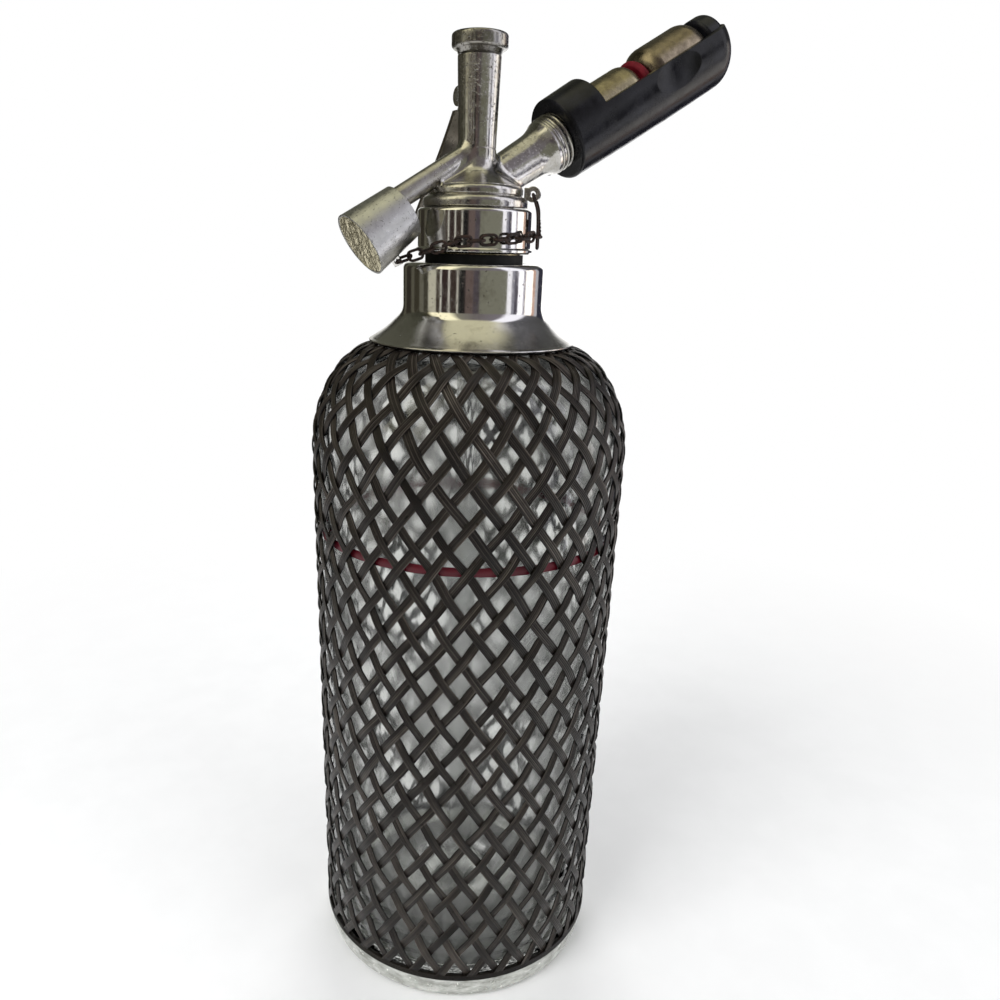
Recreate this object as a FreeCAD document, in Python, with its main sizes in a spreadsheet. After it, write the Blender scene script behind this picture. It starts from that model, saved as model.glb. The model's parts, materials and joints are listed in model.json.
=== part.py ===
import FreeCAD, Part

# A mesh-covered soda siphon: a glass bottle in a woven net, a chromed collar, and a screwed-on head that
# carries the valve lever, the spout with its chained dust cap, and the charging spigot with its bulb holder.
# Millimetres. +Z is up along the bottle's axis, and the origin is the middle of the flat base.
# +X is the side of the gas bulb, -X the side of the spout, and +Y the side of the lever.

import math
import os
import re

import Sketcher
from FreeCAD import Placement, Rotation, Units, Vector

SIZES = [
    # glass bottle
    ("body_radius", 50.0, "glass radius under the net"),
    ("glass_wall", 4.5, "thickness of the glass"),
    ("base_thickness", 8.0, "glass under the liquid"),
    ("base_dome", 2.0, "rise of the inside of the base"),
    ("base_fillet", 6.0, "inside corner of the base"),
    ("foot_step", 0.6, "how far the clear foot stands out"),
    ("foot_height", 9.2, "height of the clear foot"),
    ("foot_rounding", 3.0, "bottom edge of the foot"),
    ("shoulder_height", 191.0, "where the straight wall ends"),
    ("shoulder_arc", 40.0, "first and larger arc of the shoulder"),
    ("crown_arc", 20.0, "second arc of the shoulder"),
    ("crown_offset", 16.0, "from the centre of the larger arc out to where the shoulder lies flat"),
    ("neck_radius", 16.5, "glass neck"),
    ("neck_fillet", 2.5, "foot of the neck"),
    ("neck_bore", 11.0, "way through the neck"),
    ("neck_length", 18.5, "from the flat of the shoulder to the mouth"),
    ("bead_width", 1.8, "how far the bead at the mouth stands out"),
    ("bead_height", 5.5, "height of that bead"),
    # woven net
    ("strand_count", 31.0, "strands in each direction"),
    ("strand_width", 3.3, "width of a flat strand"),
    ("strand_thickness", 0.5, "thickness of a flat strand"),
    ("strand_gap", 0.35, "between the two layers of strands"),
    ("net_clearance", 0.45, "between the glass and the inner layer"),
    ("mesh_low", 16.3, "height of a diamond at the bottom"),
    ("mesh_high", 13.7, "height of a diamond at the shoulder"),
    ("net_start", -125.4, "where a crossing stands on the bottom hoop"),
    ("net_drift", 0.9, "degrees that a column of diamonds leans for each row"),
    ("net_settle", 0.033, "how much less it leans with each further row"),
    ("hoop_height", 2.2, "bottom hoop of the net"),
    ("hoop_inset", 0.6, "hoop under the skirt, inside the edge of the skirt"),
    ("top_hoop_width", 2.0, "width of that hoop"),
    ("hoop_rise", 0.35, "top of that hoop above the edge of the skirt"),
    # chromed collar and its skirt
    ("collar_radius", 21.5, "cylinder above the skirt"),
    ("collar_rise", 5.6, "from the glass mouth to the top of the collar"),
    ("collar_corner", 0.8, "rounded top corner"),
    ("sheet", 1.2, "collar metal"),
    ("plate_thickness", 1.5, "top plate of the collar"),
    ("skirt_radius", 32.7, "edge of the skirt"),
    ("skirt_lip", 1.2, "height of the edge of the skirt"),
    ("skirt_rise", 14.4, "from the lip to the cylinder"),
    ("skirt_arc", 28.0, "hollow sweep of the skirt"),
    # neck fittings
    ("clamp_height", 6.0, "split ring under the bead"),
    ("clamp_slot", 1.6, "slot of the split ring"),
    ("clamp_gap", 0.4, "between the split ring and the collar"),
    ("flange_radius", 19.6, "flange of the threaded neck ring"),
    ("mouth_washer", 1.7, "rubber on the mouth of the glass"),
    ("thread_radius", 14.4, "outside of the threaded neck ring"),
    ("thread_bore", 11.6, "bore of the threaded neck ring"),
    ("thread_rise", 10.9, "threaded ring above the collar plate"),
    ("thread_lead", 0.6, "sloped top edge of the threaded ring"),
    ("gasket_wall", 0.6, "black ring seen under the nut"),
    ("gasket_height", 3.5, "height of that ring"),
    ("head_seal", 1.5, "washer the head is drawn down on"),
    ("seal_bore", 10.7, "hole of that washer"),
    ("seal_radius", 14.2, "outside of that washer"),
    # union nut
    ("nut_clearance", 0.35, "nut over the threaded ring"),
    ("nut_radius", 17.5, "union nut"),
    ("nut_lip", 0.5, "lip at the lower edge"),
    ("nut_lip_height", 1.6, "height of the lip"),
    ("nut_height", 12.5, "union nut"),
    ("nut_roof", 2.4, "inward shoulder at the top"),
    ("nut_corner", 1.0, "top corner"),
    ("fit_gap", 0.3, "between pieces that move past each other"),
    # head casting
    ("head_neck", 11.7, "neck that the nut turns on"),
    ("ring_height", 2.3, "retaining ring"),
    ("bead_one", 16.0, "lower bead"),
    ("bead_one_height", 3.3, "height of the lower bead"),
    ("bead_one_round", 1.7, "rounded top of the lower bead"),
    ("bead_two", 14.5, "upper bead"),
    ("bead_two_height", 2.9, "height of the upper bead"),
    ("bead_two_round", 1.4, "rounded top of the upper bead"),
    ("bead_corner", 0.5, "lower corner of a bead"),
    ("flare_height", 8.6, "from the upper bead to the post"),
    ("flare_arc", 22.0, "hollow sweep of the flare"),
    ("flare_rise", 4.2, "height at which the flare tightens into the post"),
    ("flare_waist", 6.8, "radius there"),
    ("waist_arc", 8.8, "sweep from there into the post"),
    ("post_low", 5.65, "post radius above the flare"),
    ("post_high", 6.4, "post radius under the cap"),
    ("post_length", 25.4, "tapered length of the post"),
    ("post_spigot", 5.4, "turned-down top that takes the cap"),
    ("spigot_rise", 2.2, "height of that turned-down top"),
    ("chamber_radius", 3.9, "bore of the post"),
    ("seat_height", 12.5, "valve seat above the foot of the head"),
    ("seat_radius", 2.0, "hole through the valve seat"),
    ("socket_radius", 6.6, "socket for the dip tube and its sleeve"),
    ("socket_depth", 8.5, "depth of that socket"),
    ("gas_offset", 9.1, "gas channel from the axis"),
    ("gas_radius", 1.1, "gas channel down to the bottle"),
    # post cap
    ("cap_rim", 8.2, "beaded cap on the post"),
    ("cap_height", 5.5, "height of the cap"),
    ("cap_under", 1.6, "height of the sloped underside"),
    ("cap_top", 6.2, "flat top of the cap"),
    ("cap_roof", 2.4, "metal above the spring"),
    ("cap_arc", 2.2, "rounding of the rim"),
    ("cap_crown", 0.1, "rise of the middle of the cap"),
    ("thread_play", 0.1, "cap on the post"),
    # dip tube
    ("tube_radius", 4.0, "dip tube"),
    ("tube_wall", 1.0, "wall of the dip tube"),
    ("tube_foot", 16.0, "lower end of the dip tube"),
    # valve
    ("stem_radius", 1.3, "valve rod"),
    ("valve_radius", 3.2, "washer and its holder"),
    ("valve_rubber", 1.4, "thickness of the washer"),
    ("valve_holder", 2.2, "thickness of the holder"),
    ("packing_start", 21.6, "packing above the foot of the head"),
    ("packing_height", 1.6, "rubber packing round the rod"),
    ("gland_height", 3.4, "brass gland above it"),
    ("collar_thickness", 1.2, "collar that the lever lifts"),
    ("lift_radius", 3.3, "radius of that collar"),
    ("stem_top", 3.0, "rod above the collar"),
    ("spring_wire", 0.8, "valve spring wire"),
    ("spring_radius", 2.5, "mean radius of the valve spring"),
    ("spring_turns", 5.0, "turns"),
    # lever
    ("pivot_height", 36.5, "lever pivot above the foot of the head"),
    ("pivot_out", 7.6, "lever pivot behind the axis"),
    ("pin_radius", 1.25, "lever pin"),
    ("pin_play", 0.06, "running clearance of the pin"),
    ("pin_stand", 0.2, "pin outside each ear"),
    ("eye_radius", 2.7, "eye of the lever and ears of the post"),
    ("eye_width", 2.8, "width of the eye"),
    ("ear_width", 1.2, "width of an ear"),
    ("nose_width", 2.4, "finger that lifts the valve"),
    ("nose_thickness", 1.8, "thickness of the finger"),
    ("nose_gap", 0.4, "between the finger and the rod"),
    ("lift_gap", 0.25, "free play under the collar"),
    ("lever_thickness", 1.9, "lever strip"),
    ("lever_drop", 32.0, "pivot to the lower end of the lever"),
    ("lever_reach", 22.8, "how far the lower end stands out"),
    ("lever_arc", 130.0, "bend of the lever"),
    ("lever_top_width", 5.8, "width under the eye"),
    ("lever_low_width", 11.0, "width at the finger end"),
    ("curl", 5.0, "turned-out lower end of the lever"),
    # spout
    ("spout_height", 22.2, "spout axis above the foot of the head"),
    ("spout_tilt", 30.0, "spout below level"),
    ("spout_radius", 3.15, "spout tube"),
    ("spout_bore", 1.9, "way through the spout"),
    ("spout_length", 33.0, "spout tube along its axis"),
    ("outlet_height", 20.9, "where the cap's axis meets the bottle's axis"),
    ("outlet_tilt", 34.8, "cap and outlet below level"),
    ("outlet_start", 31.2, "back of the outlet, along the cap's axis"),
    ("outlet_length", 12.6, "length of the outlet"),
    ("outlet_radius", 7.0, "outlet that the cap pushes on"),
    ("outlet_bore", 4.6, "wide mouth of the outlet"),
    ("outlet_wall", 3.0, "metal behind that mouth"),
    ("outlet_dish", 2.4, "dished face of the outlet"),
    ("outlet_edge", 1.0, "flat rim round the dish"),
    ("cap_wall", 0.6, "wall of the dust cap"),
    ("cap_taper", 1.65, "how much wider the dust cap is at its closed end"),
    ("cap_end", 0.9, "end wall of the dust cap"),
    ("disc_thickness", 0.9, "brass disc on the end"),
    ("cap_lead", 1.3, "cap behind the back of the outlet"),
    ("eye_place", 9.3, "chain eye from the open end of the cap"),
    ("eye_plate", 0.7, "thickness of the chain eye"),
    ("eye_length", 2.8, "length of the chain eye"),
    ("eye_rise", 2.6, "height of the chain eye"),
    ("eye_hole", 0.75, "hole of the chain eye"),
    # charging spigot
    ("spigot_height", 10.1, "spigot axis above the foot of the head"),
    ("spigot_tilt", 29.6, "spigot above level"),
    ("spigot_waist", 6.1, "spigot near the head"),
    ("spigot_neck", 6.5, "spigot before the bell"),
    ("bell_start", 21.6, "start of the bell, along the spigot"),
    ("bell_length", 5.6, "length of the bell"),
    ("bell_sweep", 12.0, "hollow sweep of the bell"),
    ("spigot_thread", 8.1, "threaded end of the spigot"),
    ("spigot_end", 41.5, "end face of the spigot"),
    ("gas_bore", 2.2, "bore of the spigot"),
    ("gas_start", 9.5, "inner end of that bore"),
    ("pin_flange", 3.5, "flange of the piercing pin"),
    ("pin_flange_length", 5.0, "length of that flange"),
    ("return_washer", 2.0, "non-return washer behind the pin"),
    ("piercer_radius", 1.3, "piercing pin"),
    ("piercer_length", 15.6, "how far the pin stands out"),
    ("piercer_bore", 0.5, "gas hole of the pin"),
    ("piercer_point", 2.5, "length of its point"),
    ("piercer_edge", 0.1, "flat edge of the point"),
    ("face_seal", 1.5, "washer on the end face"),
    ("face_seal_radius", 6.9, "outside of that washer"),
    # bulb holder and what is in it
    ("holder_start", 32.8, "open end of the holder, along the spigot"),
    ("holder_mouth", 12.2, "radius at the open end"),
    ("holder_tail", 12.9, "radius near the far end"),
    ("holder_arc", 1500.0, "slight barrel shape of the holder"),
    ("holder_lip", 0.8, "rounding of the open end"),
    ("holder_rounding", 7.0, "rounding of the far end"),
    ("holder_bore", 10.4, "room for the bulb"),
    ("holder_thread", 8.45, "threaded bore"),
    ("holder_step", 11.5, "length of the threaded bore"),
    ("end_wall", 1.8, "far end of the holder"),
    ("trough_start", 13.0, "start of the open trough"),
    ("trough_level", 4.3, "edge of the trough above the axis"),
    ("scoop_place", 41.5, "thumb scoop from the open end of the holder"),
    ("scoop_level", 1.6, "scoop above the axis"),
    ("scoop_sweep", 42.0, "radius of the scoop"),
    ("scoop_depth", 1.1, "depth of the scoop"),
    ("plug_radius", 8.8, "end plug of the holder"),
    ("plug_length", 5.0, "length of the plug inside the end wall"),
    ("plug_round", 2.4, "rounded end of the plug"),
    ("plug_front", 1.0, "rounded front of the plug"),
    ("seat_tube", 8.9, "brass seat of the bulb"),
    ("seat_nose", 7.4, "front of that seat"),
    ("seat_length", 22.3, "length of the brass seat"),
    ("seat_dome", 4.6, "rounded end of the seat"),
    ("seat_edge", 0.9, "from the rounding in to the red ring"),
    ("ring_thickness", 2.6, "red sealing ring"),
    ("ring_radius", 8.3, "red sealing ring"),
    ("ring_bulge", 0.7, "how far its rim bulges out"),
    ("ring_arc", 1.43, "rounding of its rim"),
    ("bulb_neck", 4.2, "neck of the gas bulb"),
    ("bulb_neck_length", 12.0, "length of the neck"),
    ("bulb_radius", 10.0, "gas bulb"),
    ("bulb_length", 25.4, "body of the gas bulb"),
    ("bulb_shoulder", 4.6, "rounding at the neck"),
    ("bulb_round", 6.2, "rounding of the far end"),
    ("bulb_wall", 1.6, "steel of the gas bulb"),
    ("bulb_hole", 1.7, "hole that the pin has pierced"),
    ("neck_play", 0.3, "bulb neck in its seat"),
    # tether
    ("link_wire", 0.85, "thickness of a link"),
    ("link_length", 5.6, "outside length of a link"),
    ("link_width", 3.9, "outside width of a link"),
    ("link_pitch", 3.85, "most from link to link"),
    ("link_lean", 12.0, "how far a link that lies on the nut leans off it"),
    ("chain_play", 0.3, "between the chain and the nut"),
    ("chain_meet", -137.0, "where the chain comes to the nut, degrees round the axis"),
    ("chain_low", 3.0, "chain above the foot of the nut there"),
    ("chain_high", 5.3, "chain above the foot of the nut at the wire"),
    ("wire_radius", 0.4, "wire that holds the chain"),
    ("wire_spread", 1.0, "from the middle of the wire loop to a strand"),
    ("wire_sag", 1.6, "lowest point of the wire above the foot of the nut"),
    ("wire_tip", 8.0, "twisted end of the wire above the foot of the nut"),
    ("lug_angle", -46.0, "chain lug round the head"),
    ("lug_radius", 2.2, "chain lug"),
    ("lug_hole", 0.9, "hole of the chain lug"),
    ("lug_plate", 1.4, "thickness of the chain lug"),
    ("lug_rise", 0.7, "middle of the lug above the lower bead"),
]

# heights and radii that follow from those sizes
DERIVED = [
    ("shoulder_centre", "body_radius - shoulder_arc", "centre of the larger shoulder arc, from the axis"),
    ("crown_reach", "shoulder_centre + crown_offset", "radius at which the shoulder lies flat"),
    ("foot_radius", "body_radius + foot_step", "clear foot below the net"),
    ("centres_apart", "shoulder_arc - crown_arc", "between the centres of the two shoulder arcs"),
    ("crown_rise", "sqrt(centres_apart ^ 2 - crown_offset ^ 2)", "rise from one centre to the other"),
    ("crown_centre", "shoulder_height + crown_rise", "height of the second centre"),
    ("crown_flat", "crown_centre + crown_arc", "height at which the shoulder lies flat"),
    ("mouth", "crown_flat + neck_length", "mouth of the glass"),
    ("collar_top", "mouth + collar_rise", "top of the collar"),
    ("net_depth", "net_clearance + 2 * strand_thickness + strand_gap", "glass to the outside of the net"),
    ("top_hoop_radius", "skirt_radius - sheet - hoop_inset", "outside of the hoop under the skirt"),
    ("skirt_span", "skirt_radius - sheet - crown_reach", "inside of the skirt, from the second centre"),
    ("skirt_edge", "crown_centre + sqrt((crown_arc + net_depth) ^ 2 - skirt_span ^ 2) + fit_gap",
     "lower edge of the skirt, just clear of the net"),
    ("hoop_top", "foot_height + hoop_height", "top of the bottom hoop"),
    ("thread_top", "collar_top - plate_thickness + thread_rise", "top of the threaded neck ring"),
    ("head_foot", "thread_top + head_seal", "foot of the head"),
    ("nut_foot", "collar_top + gasket_height + fit_gap", "lower edge of the union nut"),
    ("nut_top", "nut_foot + nut_height", "top of the union nut"),
    ("ring_top", "nut_top - nut_roof - fit_gap", "top of the retaining ring"),
    ("head_base", "nut_top + fit_gap", "underside of the lower bead"),
    ("bead_step", "head_base + bead_one_height", "top of the lower bead"),
    ("beads_top", "bead_step + bead_two_height", "top of the upper bead"),
    ("post_foot", "beads_top + flare_height", "where the flare ends"),
    ("post_shoulder", "post_foot + post_length", "top of the tapered post"),
    ("post_top", "post_shoulder + spigot_rise", "top of the turned-down end"),
    ("cap_foot", "post_shoulder + fit_gap", "lower edge of the post cap"),
    ("cap_ceiling", "cap_foot + cap_height - cap_roof", "inside of the post cap"),
    ("seat", "head_foot + seat_height", "valve seat"),
    ("pivot", "head_foot + pivot_height", "lever pin"),
    ("lift_collar", "pivot + nose_thickness / 2 + lift_gap", "collar on the valve rod"),
    ("spring_foot", "lift_collar + collar_thickness", "lower end of the valve spring"),
    ("cap_back", "outlet_start - cap_lead", "open end of the dust cap, along its axis"),
    ("outlet_end", "outlet_start + outlet_length", "face of the outlet, along its axis"),
    ("cap_bore", "outlet_radius + fit_gap", "inside radius of the dust cap"),
    ("cap_radius", "cap_bore + cap_wall", "outside radius of the dust cap at its open end"),
    ("cap_front", "cap_radius + cap_taper", "outside radius at its closed end"),
    ("cap_floor", "outlet_end + 2 * fit_gap", "inside of the end wall"),
    ("cap_face", "cap_floor + cap_end + disc_thickness", "outside of the brass disc"),
    ("step_end", "holder_start + holder_step", "end of its threaded bore"),
    ("seat_front", "spigot_end + face_seal + fit_gap", "front of the brass seat"),
    ("seat_step", "step_end + fit_gap", "where the brass seat widens"),
    ("seat_back", "seat_front + seat_length", "domed end of the brass seat"),
    ("red_start", "seat_back + 0.5 * fit_gap", "red sealing ring"),
    ("bulb_start", "red_start + ring_thickness + 0.5 * fit_gap", "body of the gas bulb"),
    ("bulb_end", "bulb_start + bulb_length", "far end of the gas bulb"),
    ("bulb_neck_end", "bulb_start - bulb_neck_length", "end of the neck of the gas bulb"),
    ("plug_foot", "bulb_end + fit_gap", "front of the plug"),
    ("plug_end", "plug_foot + plug_length", "inside of the holder's end wall"),
    ("holder_end", "plug_end + end_wall", "far end of the holder, along the spigot"),
    ("chain_radius", "nut_radius + chain_play + link_width / 2", "middle of the chain round the nut"),
    ("lug_out", "bead_one + 0.8 * lug_radius", "middle of the chain lug, from the axis"),
    ("lug_high", "head_base + bead_one_height + lug_rise", "height of the middle of the chain lug"),
]

SPOUT = ("head_foot + spout_height", "-(90 + spout_tilt)")
OUTLET = ("head_foot + outlet_height", "-(90 + outlet_tilt)")
SPIGOT = ("head_foot + spigot_height", "90 - spigot_tilt")

TINY = 1e-9
SLIM = 0.02

doc = FreeCAD.newDocument("soda_siphon")
sheet = doc.addObject("Spreadsheet::Sheet", "Dims")
for number, (alias, content, note) in enumerate(SIZES + DERIVED, start=1):
    sheet.set(f"A{number}", alias)
    sheet.set(f"B{number}", f"={content}" if isinstance(content, str) else str(content))
    sheet.set(f"C{number}", note)
    sheet.setAlias(f"B{number}", alias)
doc.recompute()
NAMES = [alias for alias, content, note in SIZES + DERIVED]
kept = []


def size(alias):
    """The value of one cell of the sheet."""
    return float(sheet.get(alias))


def bound(formula):
    """The formula as an expression on the sheet."""
    return re.sub(r"[a-z_]+", lambda m: "Dims." + m.group() if m.group() in NAMES else m.group(), formula)


def value(formula):
    """The number that the formula gives for the sheet's present sizes."""
    plain = re.sub(r"[a-z_]+", lambda m: str(size(m.group())) if m.group() in NAMES else m.group(), formula)
    return float(Units.Quantity(plain).Value)


def origin_plane(body, role):
    """One of the body's own origin planes."""
    return [feature for feature in body.Origin.OriginFeatures if feature.Role == role][0]


def new_sketch(body, name, role):
    """An empty sketch on one of the body's own planes."""
    sketch = body.newObject("Sketcher::SketchObject", name + "_sketch")
    sketch.AttachmentSupport = [(origin_plane(body, role), "")]
    sketch.MapMode = "FlatFace"
    return sketch


def arc_between(start, end, radius, side):
    """The shorter arc from start to end, with its centre on the left (side 1) or the right (side -1)."""
    chord = end - start
    left = Vector(-chord.y, chord.x, 0).normalize()
    rise = math.sqrt(max(radius ** 2 - (chord.Length / 2) ** 2, TINY))
    centre = start + chord / 2 + left * rise * side
    circle = Part.Circle(centre, Vector(0, 0, 1), radius)
    first, last = (start, end) if side > 0 else (end, start)
    angle_first = math.atan2(first.y - centre.y, first.x - centre.x)
    angle_last = math.atan2(last.y - centre.y, last.x - centre.x)
    if angle_last < angle_first:
        angle_last += 2 * math.pi
    return Part.ArcOfCircle(circle, angle_first, angle_last)


def place_point(sketch, edge, end, axis, formula):
    """Holds one coordinate of an edge's end at a formula's value."""
    number = value(formula)
    if abs(number) < TINY:
        sketch.addConstraint(Sketcher.Constraint("PointOnObject", edge, end, -2 if axis == "X" else -1))
        return
    index = sketch.addConstraint(Sketcher.Constraint("Distance" + axis, -1, 1, edge, end, number))
    sketch.setExpression(f"Constraints[{index}]", bound(formula))


def draw(sketch, corners):
    """A closed outline. A corner is (x, y), or (x, y, radius, side) where an arc leads to the next corner."""
    points = [Vector(value(corner[0]), value(corner[1]), 0) for corner in corners]
    ends = []
    for number, corner in enumerate(corners):
        start, end = points[number], points[(number + 1) % len(points)]
        if len(corner) == 4:
            edge = sketch.addGeometry(arc_between(start, end, value(corner[2]), corner[3]))
            ends.append((edge, 1, 2) if corner[3] > 0 else (edge, 2, 1))
        else:
            edge = sketch.addGeometry(Part.LineSegment(start, end))
            ends.append((edge, 1, 2))
    for number, (edge, first, last) in enumerate(ends):
        following, following_first, unused = ends[(number + 1) % len(ends)]
        sketch.addConstraint(Sketcher.Constraint("Coincident", edge, last, following, following_first))
        corner = corners[number]
        place_point(sketch, edge, first, "X", corner[0])
        place_point(sketch, edge, first, "Y", corner[1])
        if len(corner) == 4:
            index = sketch.addConstraint(Sketcher.Constraint("Radius", edge, value(corner[2])))
            sketch.setExpression(f"Constraints[{index}]", bound(corner[2]))


def tilt(body, height, angle):
    """Stands the body's own Z axis on the bottle's axis at a height, turned by an angle about Y."""
    body.Placement = Placement(Vector(0, 0, 1), Rotation(Vector(0, 1, 0), 1 if value(angle) > 0 else -1))
    body.setExpression("Placement.Base.z", bound(height))
    body.setExpression("Placement.Rotation.Angle", bound(angle))


def lathe(name, corners, along=None):
    """A turned piece: the corners are (radius, height). along gives the height and tilt of a sloping axis."""
    body = doc.addObject("PartDesign::Body", name)
    sketch = new_sketch(body, name, "XZ_Plane")
    draw(sketch, corners)
    turned = body.newObject("PartDesign::Revolution", name + "_turned")
    turned.Profile = sketch
    turned.ReferenceAxis = (sketch, ["V_Axis"])
    turned.Angle = 360
    if along:
        tilt(body, *along)
    return body


def rod(name, radius, low, high, along=None):
    """A solid round bar from one height to another."""
    return lathe(name, [("0", low), (radius, low), (radius, high), ("0", high)], along)


def plate(name, role, corners, thickness):
    """A flat piece, as thick on one side of the plane as on the other."""
    body = doc.addObject("PartDesign::Body", name)
    sketch = new_sketch(body, name, role)
    draw(sketch, corners)
    pad = body.newObject("PartDesign::Pad", name + "_pad")
    pad.Profile = sketch
    pad.SideType = "Symmetric"
    pad.setExpression("Length", bound(thickness))
    return body


def cross_bar(name, radius, length, out, height):
    """A round bar along X, centred behind the bottle's axis."""
    bar = doc.addObject("Part::Cylinder", name)
    bar.Placement = Placement(Vector(1, 1, 1), Rotation(Vector(0, 1, 0), 90))
    bar.setExpression("Radius", bound(radius))
    bar.setExpression("Height", bound(length))
    bar.setExpression("Placement.Base.x", bound(f"-({length}) / 2"))
    bar.setExpression("Placement.Base.y", bound(out))
    bar.setExpression("Placement.Base.z", bound(height))
    return bar


def block(name, low, high):
    """A box between two corners."""
    box = doc.addObject("Part::Box", name)
    for axis, side, start, end in zip("xyz", ("Length", "Width", "Height"), low, high):
        box.setExpression(side, bound(f"({end}) - ({start})"))
        box.setExpression("Placement.Base." + axis, bound(start))
    return box


def fuse(name, pieces):
    """The pieces as one solid."""
    joined = doc.addObject("Part::MultiFuse", name)
    joined.Shapes = pieces
    joined.Refine = True
    return joined


def cut(name, base, tool):
    """The base without the tool."""
    made = doc.addObject("Part::Cut", name)
    made.Base = base
    made.Tool = tool
    made.Refine = True
    return made


def common(name, first, second):
    """What two pieces share."""
    made = doc.addObject("Part::Common", name)
    made.Base = first
    made.Tool = second
    made.Refine = True
    return made


def keep(piece, label):
    """Names a finished sub-part."""
    piece.Label = label
    kept.append(piece)
    return piece


# ---------------------------------------------------------------- glass and collar
def shoulder_joint(offset):
    """Where the two arcs of the shoulder meet, on a surface offset from the glass."""
    share = f"(shoulder_arc + ({offset})) / centres_apart"
    radius = f"shoulder_centre + (crown_reach - shoulder_centre) * {share}"
    return radius, f"shoulder_height + crown_rise * {share}"


def glass_bottle():
    """Bottle with a flat base, straight wall, two-arc shoulder, and a bead round the mouth of the neck."""
    outer_joint, outer_rise = shoulder_joint("0")
    inner_joint, inner_rise = shoulder_joint("-glass_wall")
    inside = "body_radius - glass_wall"
    bead_foot = "mouth - bead_height"
    bottle = lathe("glass_bottle", [
        ("0", "0"),
        ("foot_radius - foot_rounding", "0", "foot_rounding", 1),
        ("foot_radius", "foot_rounding"),
        ("foot_radius", "foot_height"),
        ("body_radius", "foot_height"),
        ("body_radius", "shoulder_height", "shoulder_arc", 1),
        (outer_joint, outer_rise, "crown_arc", 1),
        ("crown_reach", "crown_flat"),
        ("neck_radius + neck_fillet", "crown_flat", "neck_fillet", -1),
        ("neck_radius", "crown_flat + neck_fillet"),
        ("neck_radius", bead_foot),
        ("neck_radius + bead_width", f"{bead_foot} + bead_width"),
        ("neck_radius + bead_width", "mouth - bead_width", "bead_width", 1),
        ("neck_radius", "mouth"),
        ("neck_bore", "mouth"),
        ("neck_bore", "crown_flat - glass_wall"),
        ("crown_reach", "crown_flat - glass_wall", "crown_arc - glass_wall", -1),
        (inner_joint, inner_rise, "shoulder_arc - glass_wall", -1),
        (inside, "shoulder_height"),
        (inside, "base_thickness + base_fillet", "base_fillet", -1),
        (f"{inside} - base_fillet", "base_thickness"),
        ("0", "base_thickness + base_dome"),
    ])
    keep(bottle, "glass_bottle")


def collar_and_fittings():
    """The chromed collar with its skirt, and what grips and seals the glass neck inside it."""
    skirt_inside = "skirt_radius - sheet"
    plate_foot = "collar_top - plate_thickness"
    plate_bore = "thread_radius + 0.5 * fit_gap"
    flare_top = "skirt_edge + skirt_lip + skirt_rise"
    keep(lathe("neck_collar", [
        ("skirt_radius", "skirt_edge"),
        ("skirt_radius", "skirt_edge + skirt_lip", "skirt_arc", -1),
        ("collar_radius", flare_top),
        ("collar_radius", "collar_top - collar_corner", "collar_corner", 1),
        ("collar_radius - collar_corner", "collar_top"),
        (plate_bore, "collar_top"),
        (plate_bore, plate_foot),
        ("collar_radius - sheet", plate_foot),
        ("collar_radius - sheet", f"{flare_top} - 0.5 * sheet", "skirt_arc", 1),
        (skirt_inside, "skirt_edge"),
    ]), "neck_collar")

    bead_foot = "mouth - bead_height"
    clamp_bore = "neck_radius + 0.5 * fit_gap"
    clamp_radius = "collar_radius - sheet - clamp_gap"
    clamp_top = f"{bead_foot} - 0.5 * fit_gap"
    ring = lathe("clamp_ring", [
        (clamp_bore, f"{clamp_top} - clamp_height"),
        (clamp_radius, f"{clamp_top} - clamp_height"),
        (clamp_radius, clamp_top),
        (clamp_bore, clamp_top),
    ])
    slot = block("clamp_slot_box", ("0", "-clamp_slot / 2", f"{clamp_top} - clamp_height - sheet"),
                 ("collar_radius", "clamp_slot / 2", f"{clamp_top} + sheet"))
    keep(cut("neck_clamp_ring", ring, slot), "neck_clamp_ring")

    washer_top = "mouth + mouth_washer"
    keep(lathe("mouth_washer", [
        ("thread_bore", "mouth"), ("neck_radius + bead_width / 2", "mouth"),
        ("neck_radius + bead_width / 2", washer_top), ("thread_bore", washer_top),
    ]), "mouth_washer")
    keep(lathe("threaded_neck_ring", [
        ("thread_bore", washer_top),
        ("flange_radius", washer_top),
        ("flange_radius", plate_foot),
        ("thread_radius", plate_foot),
        ("thread_radius", "thread_top - thread_lead"),
        ("thread_radius - thread_lead", "thread_top"),
        ("thread_bore", "thread_top"),
    ]), "threaded_neck_ring")
    gasket_bore = "thread_radius + 0.5 * fit_gap"
    keep(lathe("collar_gasket", [
        (gasket_bore, "collar_top"), (f"{gasket_bore} + gasket_wall", "collar_top"),
        (f"{gasket_bore} + gasket_wall", "collar_top + gasket_height"),
        (gasket_bore, "collar_top + gasket_height"),
    ]), "collar_gasket")


# ---------------------------------------------------------------- woven net
def meridian(offset, run):
    """A point and its outward normal on the glass outline pushed out by offset, run mm up from the hoop."""
    reach = size("body_radius") - size("shoulder_arc")
    crown_rise, low = size("crown_rise"), size("hoop_top")
    straight = size("shoulder_height") - low
    turn = math.atan2(crown_rise, size("crown_reach") - reach)
    big, small = size("shoulder_arc") + offset, size("crown_arc") + offset
    if run <= straight:
        return size("body_radius") + offset, low + run, 1.0, 0.0
    angle = (run - straight) / size("shoulder_arc")
    if angle <= turn:
        return (reach + big * math.cos(angle), size("shoulder_height") + big * math.sin(angle),
                math.cos(angle), math.sin(angle))
    angle = turn + (run - straight - size("shoulder_arc") * turn) / size("crown_arc")
    return (size("crown_reach") + small * math.cos(angle), size("crown_centre") + small * math.sin(angle),
            math.cos(angle), math.sin(angle))


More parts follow.
